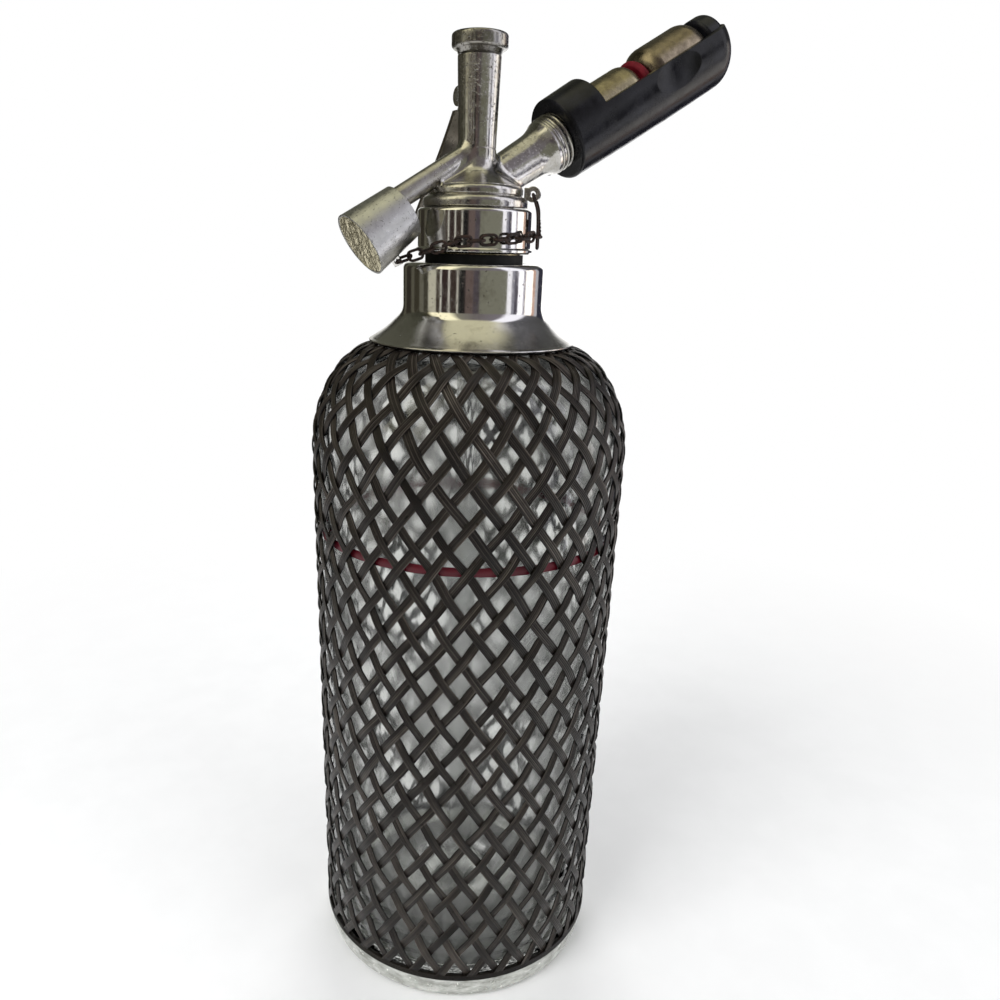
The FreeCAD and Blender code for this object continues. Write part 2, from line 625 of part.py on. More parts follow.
def net_length():
    """How far the strands run, from the bottom hoop to the outer edge of the top hoop."""
    reach = size("body_radius") - size("shoulder_arc")
    turn = math.atan2(size("crown_rise"), size("crown_reach") - reach)
    radius = size("crown_arc") + size("net_depth")
    last = math.acos((size("top_hoop_radius") + size("fit_gap") - size("crown_reach")) / radius)
    straight = size("shoulder_height") - size("hoop_top")
    return straight + size("shoulder_arc") * turn + size("crown_arc") * (last - turn)


def prism_solid(sections):
    """A closed solid through sections of four corners each, skinned with flat triangles on the shorter diagonals."""
    faces = []

    def add(*corners):
        wire = Part.makePolygon([*corners, corners[0]])
        faces.append(Part.Face(wire))

    for here, there in zip(sections, sections[1:]):
        for number in range(4):
            after = (number + 1) % 4
            if (here[number] - there[after]).Length < (here[after] - there[number]).Length:
                add(here[number], here[after], there[after])
                add(here[number], there[after], there[number])
            else:
                add(here[number], here[after], there[number])
                add(here[after], there[after], there[number])
    for end in (sections[0], sections[-1]):
        add(end[0], end[1], end[2])
        add(end[0], end[2], end[3])
    solid = Part.Solid(Part.Shell(faces))
    if solid.Volume < 0:
        solid.reverse()
    return solid


def mesh_stations():
    """How far up the crossings lie, and how many diamonds each is above the hoop: the diamonds shorten upward."""
    length, low, high = net_length(), size("mesh_low"), size("mesh_high")
    straight = size("shoulder_height") - size("hoop_top")
    stations, run, rows, step = [], 0.0, 0.0, 1.0
    while run < length - TINY:
        stations.append((run, rows))
        height = low + (high - low) * min(run / straight, 1.0)
        step = 1.0 if run < straight - height / 2 else 0.5
        part = min(height * step, length - run)
        rows += part / height
        run += part
    stations.append((length, rows))
    return stations


def net_strand(offset, hand, start, stations):
    """One flat strand of the net, lying on the glass outline at an offset and winding one way."""
    thickness, width, count = size("strand_thickness"), size("strand_width"), size("strand_count")
    spacing = 2 * math.pi / count
    sections = []
    for number, (run, rows) in enumerate(stations):
        radius, height, out, up = meridian(offset, run)
        before, after = stations[max(number - 1, 0)], stations[min(number + 1, len(stations) - 1)]
        slope = radius * spacing * (after[1] - before[1]) / (after[0] - before[0])
        narrow = min(1.0, radius / size("body_radius") + 0.25)
        half = width * narrow * math.hypot(1, slope) / 2 / radius
        lean = size("net_start") + size("net_drift") * rows - size("net_settle") * rows ** 2
        angle = math.radians(lean) + start + hand * spacing * rows
        corners = []
        for depth, side in ((0, -1), (0, 1), (thickness, 1), (thickness, -1)):
            spot = radius + depth * out
            turn = angle + side * half
            corners.append(Vector(spot * math.cos(turn), spot * math.sin(turn), height + depth * up))
        sections.append(corners)
    return prism_solid(sections)


def woven_net():
    """The two families of strands, one layer over the other, and the hoops that hold their ends."""
    stations = mesh_stations()
    count = int(round(size("strand_count")))
    outer_offset = size("net_clearance") + size("strand_thickness") + size("strand_gap")
    inner_offset = size("net_clearance")
    for name, hand, offset in (("net_strands_right", 1, outer_offset), ("net_strands_left", -1, inner_offset)):
        strands = [net_strand(offset, hand, 2 * math.pi * number / count, stations) for number in range(count)]
        family = doc.addObject("Part::Feature", name)
        family.Shape = Part.makeCompound(strands)
        keep(family, name)
    inside = "body_radius + 0.5 * net_clearance"
    outside = "body_radius + net_depth"
    keep(lathe("net_bottom_hoop", [
        (inside, "foot_height"), (outside, "foot_height"), (outside, "hoop_top"), (inside, "hoop_top"),
    ]), "net_bottom_hoop")
    hoop_inside = "top_hoop_radius - top_hoop_width"
    hoop_foot = ("(crown_centre + sqrt((crown_arc + net_clearance) ^ 2"
                 " - (top_hoop_radius - top_hoop_width - crown_reach) ^ 2))")
    keep(lathe("net_top_hoop", [
        (hoop_inside, hoop_foot), ("top_hoop_radius", hoop_foot),
        ("top_hoop_radius", "skirt_edge + hoop_rise"), (hoop_inside, "skirt_edge + hoop_rise"),
    ]), "net_top_hoop")


# ---------------------------------------------------------------- union nut and head
def union_nut():
    """The smooth nut that draws the head down on the threaded neck ring."""
    bore = "thread_radius + nut_clearance"
    keep(lathe("union_nut", [
        (bore, "nut_foot"),
        ("nut_radius", "nut_foot"),
        ("nut_radius + nut_lip", "nut_foot + nut_lip"),
        ("nut_radius + nut_lip", "nut_foot + nut_lip_height - nut_lip"),
        ("nut_radius", "nut_foot + nut_lip_height"),
        ("nut_radius", "nut_top - nut_corner", "nut_corner", 1),
        ("nut_radius - nut_corner", "nut_top"),
        ("head_neck + fit_gap", "nut_top"),
        ("head_neck + fit_gap", "nut_top - nut_roof"),
        (bore, "nut_top - nut_roof"),
    ]), "union_nut")
    keep(lathe("retaining_ring", [
        ("head_neck + 0.1 * fit_gap", "ring_top - ring_height"), ("thread_radius", "ring_top - ring_height"),
        ("thread_radius", "ring_top"), ("head_neck + 0.1 * fit_gap", "ring_top"),
    ]), "retaining_ring")
    keep(lathe("head_seal", [
        ("seal_bore", "thread_top"), ("seal_radius", "thread_top"),
        ("seal_radius", "head_foot"), ("seal_bore", "head_foot"),
    ]), "head_seal")


def head_core():
    """The turned middle of the head: neck, two beads, hollow flare and the tapered post."""
    return lathe("head_core", [
        ("0", "head_foot"),
        ("head_neck", "head_foot"),
        ("head_neck", "head_base"),
        ("bead_one - bead_corner", "head_base", "bead_corner", 1),
        ("bead_one", "head_base + bead_corner"),
        ("bead_one", "bead_step - bead_one_round", "bead_one_round", 1),
        ("bead_one - bead_one_round", "bead_step"),
        ("bead_two - bead_corner", "bead_step"),
        ("bead_two", "bead_step + bead_corner"),
        ("bead_two", "beads_top - bead_two_round", "bead_two_round", 1),
        ("bead_two - bead_two_round", "beads_top", "flare_arc", -1),
        ("flare_waist", "beads_top + flare_rise", "waist_arc", -1),
        ("post_low", "post_foot"),
        ("post_high", "post_shoulder"),
        ("post_spigot", "post_shoulder"),
        ("post_spigot", "post_top"),
        ("0", "post_top"),
    ])


def spigot_body():
    """The charging spigot: a gently tapered neck, a bell and the threaded end."""
    return lathe("spigot_body", [
        ("0", "gas_start / 2"),
        ("spigot_waist", "gas_start / 2"),
        ("spigot_waist", "bell_start / 2"),
        ("spigot_neck", "bell_start", "bell_sweep", -1),
        ("spigot_thread", "bell_start + bell_length"),
        ("spigot_thread", "spigot_end"),
        ("0", "spigot_end"),
    ], SPIGOT)


def pivot_ears():
    """The two ears on the back of the post that carry the lever pin."""
    span = "eye_width + 2 * fit_gap + 2 * ear_width"
    rounds = cross_bar("ear_round", "eye_radius", span, "pivot_out", "pivot")
    web = block("ear_web", (f"-({span}) / 2", "post_low - ear_width", "pivot - eye_radius"),
                (f"({span}) / 2", "pivot_out", "pivot + eye_radius"))
    between = block("ear_between", ("-(eye_width + 2 * fit_gap) / 2", "0", "pivot - 2 * eye_radius"),
                    ("(eye_width + 2 * fit_gap) / 2", "pivot_out + 2 * eye_radius", "pivot + 2 * eye_radius"))
    return cut("pivot_ears", fuse("ear_pair", [rounds, web]), between)


def chain_lug():
    """A flat eye on the side of the beads, standing out from the head."""
    length = "1.2 * lug_radius"
    eye = doc.addObject("Part::Cylinder", "lug_round")
    eye.setExpression("Radius", bound("lug_radius"))
    eye.setExpression("Height", bound("lug_plate"))
    hole = doc.addObject("Part::Cylinder", "lug_bore")
    hole.setExpression("Radius", bound("lug_hole"))
    hole.setExpression("Height", bound("lug_plate * 3"))
    web = doc.addObject("Part::Box", "lug_web")
    web.setExpression("Length", bound(length))
    web.setExpression("Width", bound("lug_plate"))
    web.setExpression("Height", bound("1.6 * lug_radius"))
    turn = Rotation(Vector(0, 0, 1), size("lug_angle"))
    out, high, thick = size("lug_out"), size("lug_high"), size("lug_plate")
    lying = Rotation(Vector(1, 0, 0), 90)
    eye.Placement = Placement(turn.multVec(Vector(out, thick / 2, high)), turn.multiply(lying))
    hole.Placement = Placement(turn.multVec(Vector(out, thick * 1.5, high)), turn.multiply(lying))
    web_corner = Vector(out - value(length), -thick / 2, high - size("lug_radius") * 0.8)
    web.Placement = Placement(turn.multVec(web_corner), turn)
    return cut("chain_lug", fuse("lug_solid", [eye, web]), hole)


def head_casting():
    """The head: one casting with its spout, outlet, charging spigot, pivot ears and chain lug, then bored out."""
    spout = rod("spout_tube", "spout_radius", "spout_radius / 2", "spout_length", SPOUT)
    outlet = rod("outlet_cup", "outlet_radius", "outlet_start", "outlet_end", OUTLET)
    solid = fuse("head_solid", [head_core(), spout, outlet, spigot_body(), pivot_ears(), chain_lug()])
    outlet_mouth = "outlet_start + outlet_wall"
    bores = [
        rod("socket_bore", "socket_radius", "head_foot - fit_gap", "head_foot + socket_depth"),
        rod("seat_bore", "seat_radius", "head_foot", "seat + fit_gap"),
        rod("chamber_bore", "chamber_radius", "seat", "post_top + fit_gap"),
        rod("spout_bore_tool", "spout_bore", "chamber_radius / 2", "spout_length + spout_radius", SPOUT),
        rod("outlet_bore_tool", "outlet_bore", outlet_mouth, "outlet_end + fit_gap", OUTLET),
        lathe("outlet_dish_tool", [
            ("0", "outlet_end - outlet_dish"), ("outlet_bore", "outlet_end - outlet_dish"),
            ("outlet_radius - outlet_edge", "outlet_end + 0.1 * fit_gap"), ("0", "outlet_end + 0.1 * fit_gap"),
        ], OUTLET),
        rod("gas_bore_tool", "gas_bore", "gas_start", "spigot_end + fit_gap", SPIGOT),
        rod("gas_counterbore", "pin_flange + 0.1 * fit_gap", "spigot_end - pin_flange_length - return_washer",
            "spigot_end + fit_gap", SPIGOT),
        gas_channel(),
        block("nose_slot", ("-(eye_width + 2 * fit_gap) / 2", "0", "pivot - eye_radius - 2 * fit_gap"),
              ("(eye_width + 2 * fit_gap) / 2", "post_high + 2 * fit_gap", "pivot + eye_radius + 2 * fit_gap")),
        cross_bar("ear_bore", "pin_radius + pin_play", "eye_width + 4 * ear_width", "pivot_out", "pivot"),
    ]
    keep(cut("head_casting", solid, fuse("head_bores", bores)), "head_casting")


def gas_channel():
    """The channel that leads the gas from the spigot down past the dip tube."""
    channel = doc.addObject("Part::Cylinder", "gas_channel")
    rise = math.tan(math.radians(size("spigot_tilt"))) * size("gas_offset")
    channel.setExpression("Radius", bound("gas_radius"))
    channel.Height = size("spigot_height") + rise + size("fit_gap")
    channel.Placement.Base = Vector(size("gas_offset"), 0, size("head_foot") - size("fit_gap"))
    return channel


def post_cap():
    """The beaded cap that closes the top of the post and holds the valve spring down."""
    bore = "post_spigot + thread_play"
    keep(lathe("post_cap", [
        (bore, "cap_foot"),
        ("post_high + fit_gap", "cap_foot"),
        ("cap_rim", "cap_foot + cap_under"),
        ("cap_rim", "cap_foot + cap_height - cap_arc", "cap_arc", 1),
        ("cap_top", "cap_foot + cap_height"),
        ("0", "cap_foot + cap_height + cap_crown"),
        ("0", "cap_ceiling"),
        ("chamber_radius", "cap_ceiling"),
        ("chamber_radius", "post_top + thread_play"),
        (bore, "post_top + thread_play"),
    ]), "post_cap")


def dip_tube():
    """The tube down into the liquid, and the rubber sleeve that holds it in the head."""
    tube_top = "head_foot + socket_depth - fit_gap"
    keep(lathe("dip_tube", [
        ("tube_radius - tube_wall", "tube_foot"), ("tube_radius", "tube_foot"),
        ("tube_radius", tube_top), ("tube_radius - tube_wall", tube_top),
    ]), "dip_tube")
    sleeve_bore, sleeve_radius = "tube_radius + 0.1 * fit_gap", "socket_radius - 0.1 * fit_gap"
    keep(lathe("dip_tube_sleeve", [
        (sleeve_bore, "head_foot"), (sleeve_radius, "head_foot"), (sleeve_radius, tube_top), (sleeve_bore, tube_top),
    ]), "dip_tube_sleeve")


# ---------------------------------------------------------------- valve
def valve():
    """The rod with its washer, the packing and gland round it, and the spring that closes it."""
    holder_foot = "seat + valve_rubber"
    rod_end = "spring_foot + stem_top"
    keep(lathe("valve_washer", [
        ("0", "seat"), ("valve_radius", "seat"), ("valve_radius", holder_foot), ("0", holder_foot),
    ]), "valve_washer")
    keep(lathe("valve_stem", [
        ("0", holder_foot),
        ("valve_radius", holder_foot),
        ("valve_radius", f"{holder_foot} + valve_holder"),
        ("stem_radius", f"{holder_foot} + valve_holder"),
        ("stem_radius", "lift_collar"),
        ("lift_radius", "lift_collar"),
        ("lift_radius", "spring_foot"),
        ("stem_radius", "spring_foot"),
        ("stem_radius", rod_end),
        ("0", rod_end),
    ]), "valve_stem")
    packing_foot = "head_foot + packing_start"
    gland_foot = f"{packing_foot} + packing_height"
    outside = "chamber_radius - 0.1 * fit_gap"
    for name, foot, top, bore in (
        ("stem_packing", packing_foot, gland_foot, "stem_radius + 0.2 * fit_gap"),
        ("stem_gland", gland_foot, f"{gland_foot} + gland_height", "stem_radius + 0.2 * fit_gap"),
    ):
        keep(lathe(name, [(bore, foot), (outside, foot), (outside, top), (bore, top)]), name)

    corners_per_turn = 12
    wire, radius, turns = size("spring_wire"), size("spring_radius"), size("spring_turns")
    foot = size("spring_foot") + wire / 2 + SLIM
    rise = size("cap_ceiling") - foot - wire / 2 - SLIM
    steps = int(round(turns * corners_per_turn))
    sections = []
    for step in range(steps + 1):
        angle = 2 * math.pi * turns * step / steps
        height = foot + rise * step / steps
        sections.append([
            Vector((radius + out) * math.cos(angle), (radius + out) * math.sin(angle), height + up)
            for out, up in ((wire / 2, 0), (0, wire / 2), (-wire / 2, 0), (0, -wire / 2))
        ])
    spring = doc.addObject("Part::Feature", "valve_spring")
    spring.Shape = prism_solid(sections)
    keep(spring, "valve_spring")


# ---------------------------------------------------------------- lever
def lever():
    """The bent strip behind the post, with the eye on the pin and the finger that lifts the valve rod."""
    end_out, end_low = "pivot_out + lever_reach", "pivot - lever_drop"
    strip = plate("lever_strip", "YZ_Plane", [
        ("pivot_out - lever_thickness / 2", "pivot", "lever_arc", 1),
        (f"{end_out} - lever_thickness", end_low, "2 * curl", 1),
        (f"{end_out} + curl", f"{end_low} - 0.6 * curl"),
        (f"{end_out} + curl", f"{end_low} - 0.6 * curl + lever_thickness", "2 * curl - lever_thickness / 2", -1),
        (end_out, end_low, "lever_arc - lever_thickness", -1),
        ("pivot_out + lever_thickness / 2", "pivot"),
    ], "2 * lever_low_width")
    outline = plate("lever_outline", "XZ_Plane", [
        ("lever_low_width / 2", f"{end_low} + lever_low_width / 2"),
        ("lever_top_width / 2", "pivot - eye_radius - 3 * fit_gap"),
        ("eye_width / 2", "pivot - eye_radius - 2 * fit_gap"),
        ("eye_width / 2", "pivot + eye_radius"),
        ("-eye_width / 2", "pivot + eye_radius"),
        ("-eye_width / 2", "pivot - eye_radius - 2 * fit_gap"),
        ("-lever_top_width / 2", "pivot - eye_radius - 3 * fit_gap"),
        ("-lever_low_width / 2", f"{end_low} + lever_low_width / 2"),
        ("-lever_low_width / 2", f"{end_low} - curl / 2", "lever_low_width * 0.6", 1),
        ("lever_low_width / 2", f"{end_low} - curl / 2"),
    ], "4 * (pivot_out + lever_reach + curl)")
    blade = common("lever_blade", strip, outline)
    eye = cross_bar("lever_eye", "eye_radius", "eye_width", "pivot_out", "pivot")
    nose = block("lever_nose", ("-nose_width / 2", "stem_radius + nose_gap", "pivot - nose_thickness / 2"),
                 ("nose_width / 2", "pivot_out", "pivot + nose_thickness / 2"))
    hole = cross_bar("lever_bore", "pin_radius + pin_play", "2 * lever_low_width", "pivot_out", "pivot")
    keep(cut("lever", fuse("lever_solid", [blade, eye, nose]), hole), "lever")
    pin_length = "eye_width + 2 * fit_gap + 2 * ear_width + 2 * pin_stand"
    keep(cross_bar("lever_pin", "pin_radius", pin_length, "pivot_out", "pivot"), "lever_pin")


# ---------------------------------------------------------------- dust cap and its tether
def dust_cap():
    """The cup that pushes over the outlet, the brass disc on its end, and the eye for the chain."""
    floor_end = "cap_floor + cap_end"
    rim = "cap_face + fit_gap / 2"
    keep(lathe("nozzle_cap", [
        ("cap_bore", "cap_back"),
        ("cap_radius", "cap_back"),
        ("cap_front", rim),
        ("cap_front - cap_wall", rim),
        ("cap_front - cap_wall", floor_end),
        ("0", floor_end),
        ("0", "cap_floor"),
        ("cap_bore + cap_taper", "cap_floor"),
    ], OUTLET), "nozzle_cap")
    disc_radius = f"cap_front - cap_wall - {SLIM}"
    keep(lathe("cap_disc", [
        ("0", floor_end), (disc_radius, floor_end), (disc_radius, "cap_face"), ("0", "cap_face"),
    ], OUTLET), "cap_disc")


def cap_frame():
    """The dust cap's own frame: its Z runs down the spout and its -X points to the underside."""
    angle = -(90 + size("outlet_tilt"))
    return Placement(Vector(0, 0, value(OUTLET[0])), Rotation(Vector(0, 1, 0), angle))


def cap_eye(bar):
    """A small flat eye soldered under the cap. bar is the direction of the link that hangs in it."""
    middle, outward = eye_place()
    long, thick, rise = size("eye_length"), size("eye_plate"), size("eye_rise")
    turned = Placement(middle, Rotation(outward, Vector(), bar, "XZY"))
    depth = size("cap_wall") / 2
    tab = Part.makeBox(rise + depth, long, thick, Vector(-rise / 2 - depth, -long / 2, -thick / 2))
    hole = Part.makeCylinder(size("eye_hole"), thick * 2, Vector(0, 0, -thick))
    eye = tab.cut(hole)
    eye.Placement = turned
    outlet = cap_frame()
    back, face = size("cap_back"), size("cap_face")
    cup = Part.makeCone(size("cap_radius"), size("cap_front"), face - back)
    cup.Placement = outlet.multiply(Placement(Vector(0, 0, back), Rotation()))
    feature = doc.addObject("Part::Feature", "cap_eye")
    feature.Shape = eye.cut(cup)
    keep(feature, "cap_eye")


def eye_place():
    """The middle of the hole of the chain eye, and the direction that stands out from the cap there."""
    share = size("eye_place") / (size("cap_face") - size("cap_back"))
    radius = size("cap_radius") + size("cap_taper") * share
    frame = cap_frame()
    outward = frame.Rotation.multVec(Vector(-1, 0, 0))
    middle = frame.multVec(Vector(-radius - size("eye_rise") / 2, 0, size("cap_back") + size("eye_place")))
    return middle, outward


def chain_link(frame):
    """One closed link, lying along X in its frame and wide along Y, as an eight-sided ring."""
    wire, long, wide = size("link_wire"), size("link_length"), size("link_width")

    def ring(length, width):
        corner = width * 0.3
        x, y = length / 2, width / 2
        outline = [(x, y - corner), (x - corner, y), (corner - x, y), (-x, y - corner),
                   (-x, corner - y), (corner - x, -y), (x - corner, -y), (x, corner - y)]
        wire_points = [Vector(a, b, -wire / 2) for a, b in outline]
        return Part.Face(Part.makePolygon([*wire_points, wire_points[0]])).extrude(Vector(0, 0, wire))

    link = ring(long, wide).cut(ring(long - 2 * wire, wide - 2 * wire))
    link.Placement = frame
    return link


def chain_route():
    """The line of the chain: straight from the cap's eye to the nut, round its front, and up to the wire."""
    radius = size("chain_radius")
    low, high = size("nut_foot") + size("chain_low"), size("nut_foot") + size("chain_high")
    first = math.radians(size("chain_meet"))
    last = math.radians(size("lug_angle")) - size("wire_spread") / radius
    steps = 60
    points = [eye_place()[0]]
    for step in range(steps + 1):
        share = step / steps
        angle = first + (last - first) * share
        height = low + (high - low) * share
        points.append(Vector(radius * math.cos(angle), radius * math.sin(angle), height))
    return points


def walk(points, distance):
    """The point at a distance along a line of points, and the direction there."""
    for here, there in zip(points, points[1:]):
        length = (there - here).Length
        if distance <= length:
            return here + (there - here) * (distance / length), (there - here).normalize()
        distance -= length
    return points[-1], (points[-1] - points[-2]).normalize()


def tether():
    """The chain from the cap to the wire: its links lie flat on the nut and stand on edge by turns."""
    route = chain_route()
    total = sum((there - here).Length for here, there in zip(route, route[1:]))
    wire = size("link_wire")
    half = size("link_length") / 2 - wire / 2
    overhang = half - wire / 2 - 1.5 * size("wire_radius")
    reach = total - half - overhang
    steps = 2 * math.ceil(reach / size("link_pitch") / 2)
    first_along = walk(route, half)[1]
    bar = first_along.cross(eye_place()[1]).normalize()
    cap_eye(bar)
    easing = 4
    links = []
    for number in range(steps + 1):
        middle, along = walk(route, half + reach * number / steps)
        outward = Vector(middle.x, middle.y, 0).normalize()
        side = outward.cross(along).normalize()
        out = along.cross(side).normalize()
        leaning = Rotation(along, side, out, "XYZ")
        on_edge = size("link_lean") - 90
        if number == 0:
            twist = math.degrees(math.atan2(bar * out, bar * side)) - on_edge
        turn = on_edge if number % 2 == 0 else on_edge + 90
        turn += twist * max(0, 1 - number / easing)
        links.append(chain_link(Placement(middle, leaning.multiply(Rotation(Vector(1, 0, 0), turn)))))
    chain = doc.addObject("Part::Feature", "tether_chain")
    chain.Shape = Part.makeCompound(links)
    keep(chain, "tether_chain")


def chain_wire():
    """The wire loop: through the lug of the head, down the nut on both sides and back up to its twisted end."""
    thick, spread = size("wire_radius"), size("wire_spread")
    lug_out, lug_high = size("lug_out"), size("lug_high")
    beside_lug = size("lug_plate") / 2 + 2 * thick
    nut_foot, nut_top = size("nut_foot"), size("nut_top")
    out = size("chain_radius")
    sag, tip = nut_foot + size("wire_sag"), nut_foot + size("wire_tip")
    path = [
        (spread + thick, out + thick, tip),
        (spread, out, tip + 2 * thick),
        (beside_lug, out, nut_top),
        (beside_lug, lug_out, lug_high - 2 * thick),
        (beside_lug / 2, lug_out, lug_high),
        (-beside_lug / 2, lug_out, lug_high),
        (-beside_lug, lug_out, lug_high - 2 * thick),
        (-beside_lug, out, nut_top),
        (-spread, out, tip),
        (-spread, out, sag + spread),
        (-spread / 2, out, sag + spread / 4),
        (spread / 2, out, sag + spread / 4),
        (spread, out, sag + spread),
        (spread, out, tip - 4 * thick),
    ]
    turn = Rotation(Vector(0, 0, 1), size("lug_angle"))
    line = [turn.multVec(Vector(reach, across, height)) for across, reach, height in path]
    outward = turn.multVec(Vector(1, 0, 0))
    sections = []
    for number, spot in enumerate(line):
        along = (line[min(number + 1, len(line) - 1)] - line[max(number - 1, 0)]).normalize()
        side = outward.cross(along).normalize()
        out_side = along.cross(side).normalize()
        sections.append([spot + side * thick, spot + out_side * thick, spot - side * thick, spot - out_side * thick])
    wire = doc.addObject("Part::Feature", "chain_wire")
    wire.Shape = prism_solid(sections)
    keep(wire, "chain_wire")


# ---------------------------------------------------------------- charging side
def piercing_parts():
    """What the gas passes in the spigot: the face washer, the hollow pin and the non-return washer."""
    flange_foot = "spigot_end - pin_flange_length"
    pin_end = "spigot_end + piercer_length"
    keep(lathe("piercing_pin", [
        ("piercer_bore", flange_foot), ("pin_flange", flange_foot), ("pin_flange", "spigot_end"),
        ("piercer_radius", "spigot_end"), ("piercer_radius", f"{pin_end} - piercer_point"),
        ("piercer_bore + piercer_edge", pin_end), ("piercer_bore", pin_end),
    ], SPIGOT), "piercing_pin")
    keep(lathe("non_return_washer", [
        ("2 * piercer_bore", f"{flange_foot} - return_washer"), ("pin_flange", f"{flange_foot} - return_washer"),
        ("pin_flange", flange_foot), ("2 * piercer_bore", flange_foot),
    ], SPIGOT), "non_return_washer")
    face_bore = "piercer_radius + 0.5 * fit_gap"
    keep(lathe("spigot_seal", [
        (face_bore, "spigot_end"), ("face_seal_radius", "spigot_end"),
        ("face_seal_radius", "spigot_end + face_seal"), (face_bore, "spigot_end + face_seal"),
    ], SPIGOT), "spigot_seal")


def bulb_holder():
    """The black barrel that screws on the spigot: a full collar, then an open trough with the bulb lying in it."""
    plug_hole = "plug_radius + 0.1 * fit_gap"
    hole_foot = "plug_foot - 0.5 * fit_gap"
    trough_foot = "holder_start + trough_start"
    past_end = "holder_end + end_wall"
    barrel = lathe("holder_barrel", [
        ("holder_thread", "holder_start"),
        ("holder_mouth - holder_lip", "holder_start", "holder_lip", 1),
        ("holder_mouth", "holder_start + holder_lip", "holder_arc", 1),
        ("holder_tail", "holder_end - holder_rounding", "holder_rounding", 1),
        ("holder_tail - holder_rounding", "holder_end"),
        ("0", "holder_end"),
        ("0", "plug_end"),
        (plug_hole, "plug_end"),
        (plug_hole, hole_foot),
        ("holder_bore", hole_foot),
        ("holder_bore", "step_end"),
        ("holder_thread", "step_end"),
    ])
    above = block("trough_box", ("-2 * holder_mouth", "-2 * holder_mouth", trough_foot),
                  ("-trough_level", "2 * holder_mouth", past_end))
    walls = block("trough_walls", ("-2 * trough_level", "-holder_bore", trough_foot),
                  ("0", "holder_bore", hole_foot))
    plug_way = block("plug_way", ("-2 * trough_level", f"-({plug_hole})", trough_foot),
                     ("0", plug_hole, "plug_end"))
    scoops = [thumb_scoop("scoop_near", -1), thumb_scoop("scoop_far", 1)]
    shape = cut("bulb_holder", barrel, fuse("holder_openings", [above, walls, plug_way, *scoops]))
    tilt(shape, *SPIGOT)
    keep(shape, "bulb_holder")
    plug = lathe("plug_body", [
        ("0", "plug_foot"),
        ("plug_radius - plug_front", "plug_foot", "plug_front", 1),
        ("plug_radius", "plug_foot + plug_front"),
        ("plug_radius", "holder_end - plug_round", "plug_round", 1),
        ("plug_radius - plug_round", "holder_end"),
        ("0", "holder_end"),
    ])
    wall = block("plug_wall", ("-trough_level", "-2 * holder_mouth", "plug_end"),
                 ("2 * holder_mouth", "2 * holder_mouth", past_end))
    plug_shape = cut("holder_plug", plug, wall)
    tilt(plug_shape, *SPIGOT)
    keep(plug_shape, "holder_plug")


def thumb_scoop(name, hand):
    """The ball that presses a shallow thumb scoop into one side of the barrel."""
    ball = doc.addObject("Part::Sphere", name)
    ball.setExpression("Radius", bound("scoop_sweep"))
    ball.setExpression("Placement.Base.x", bound("-scoop_level"))
    out = "holder_tail + scoop_sweep - scoop_depth"
    ball.setExpression("Placement.Base.y", bound(f"({out}) * {hand}"))
    ball.setExpression("Placement.Base.z", bound("holder_start + scoop_place"))
    return ball


def gas_bulb_group():
    """The brass seat with its domed end, the red sealing ring and the gas bulb."""
    keep(lathe("bulb_seat", [
        ("piercer_radius + fit_gap", "seat_front"),
        ("seat_nose", "seat_front"),
        ("seat_nose", "seat_step"),
        ("seat_tube", "seat_step"),
        ("seat_tube", "seat_back - seat_dome", "seat_dome", 1),
        ("seat_tube - seat_dome + seat_edge", "seat_back"),
        ("bulb_neck + neck_play", "seat_back"),
        ("bulb_neck + neck_play", "bulb_neck_end - neck_play"),
        ("piercer_radius + fit_gap", "bulb_neck_end - neck_play"),
    ], SPIGOT), "bulb_seat")
    ring_inside = "bulb_neck + neck_play"
    red_end = "red_start + ring_thickness"
    keep(lathe("red_seal_ring", [
        (ring_inside, "red_start"), ("ring_radius - ring_bulge", "red_start", "ring_arc", 1),
        ("ring_radius - ring_bulge", red_end), (ring_inside, red_end),
    ], SPIGOT), "red_seal_ring")
    keep(lathe("gas_bulb", [
        ("bulb_hole", "bulb_neck_end"), ("bulb_neck", "bulb_neck_end"), ("bulb_neck", "bulb_start"),
        ("bulb_radius - bulb_shoulder", "bulb_start", "bulb_shoulder", 1),
        ("bulb_radius", "bulb_start + bulb_shoulder"),
        ("bulb_radius", "bulb_end - bulb_round", "bulb_round", 1),
        ("bulb_radius - bulb_round", "bulb_end"),
        ("0", "bulb_end"),
        ("0", "bulb_end - bulb_wall"),
        ("bulb_radius - bulb_round", "bulb_end - bulb_wall", "bulb_round - bulb_wall", -1),
        ("bulb_radius - bulb_wall", "bulb_end - bulb_round"),
        ("bulb_radius - bulb_wall", "bulb_start + bulb_shoulder", "bulb_shoulder - bulb_wall", -1),
        ("bulb_radius - bulb_shoulder", "bulb_start + bulb_wall"),
        ("bulb_neck - bulb_wall", "bulb_start + bulb_wall"),
        ("bulb_neck - bulb_wall", "bulb_neck_end + bulb_wall"),
        ("bulb_hole", "bulb_neck_end + bulb_wall"),
    ], SPIGOT), "gas_bulb")


# ---------------------------------------------------------------- build, check and write
def check():
    """Stops on any failed object or bad solid."""
    for thing in doc.Objects:
        if "Invalid" in thing.State or "Error" in thing.State:
            raise RuntimeError(f"{thing.Name} failed: {thing.State}")
    for piece in kept:
        if piece.Shape.isNull() or not piece.Shape.isValid() or not piece.Shape.Solids:
            raise RuntimeError(f"{piece.Label} has no valid solid")


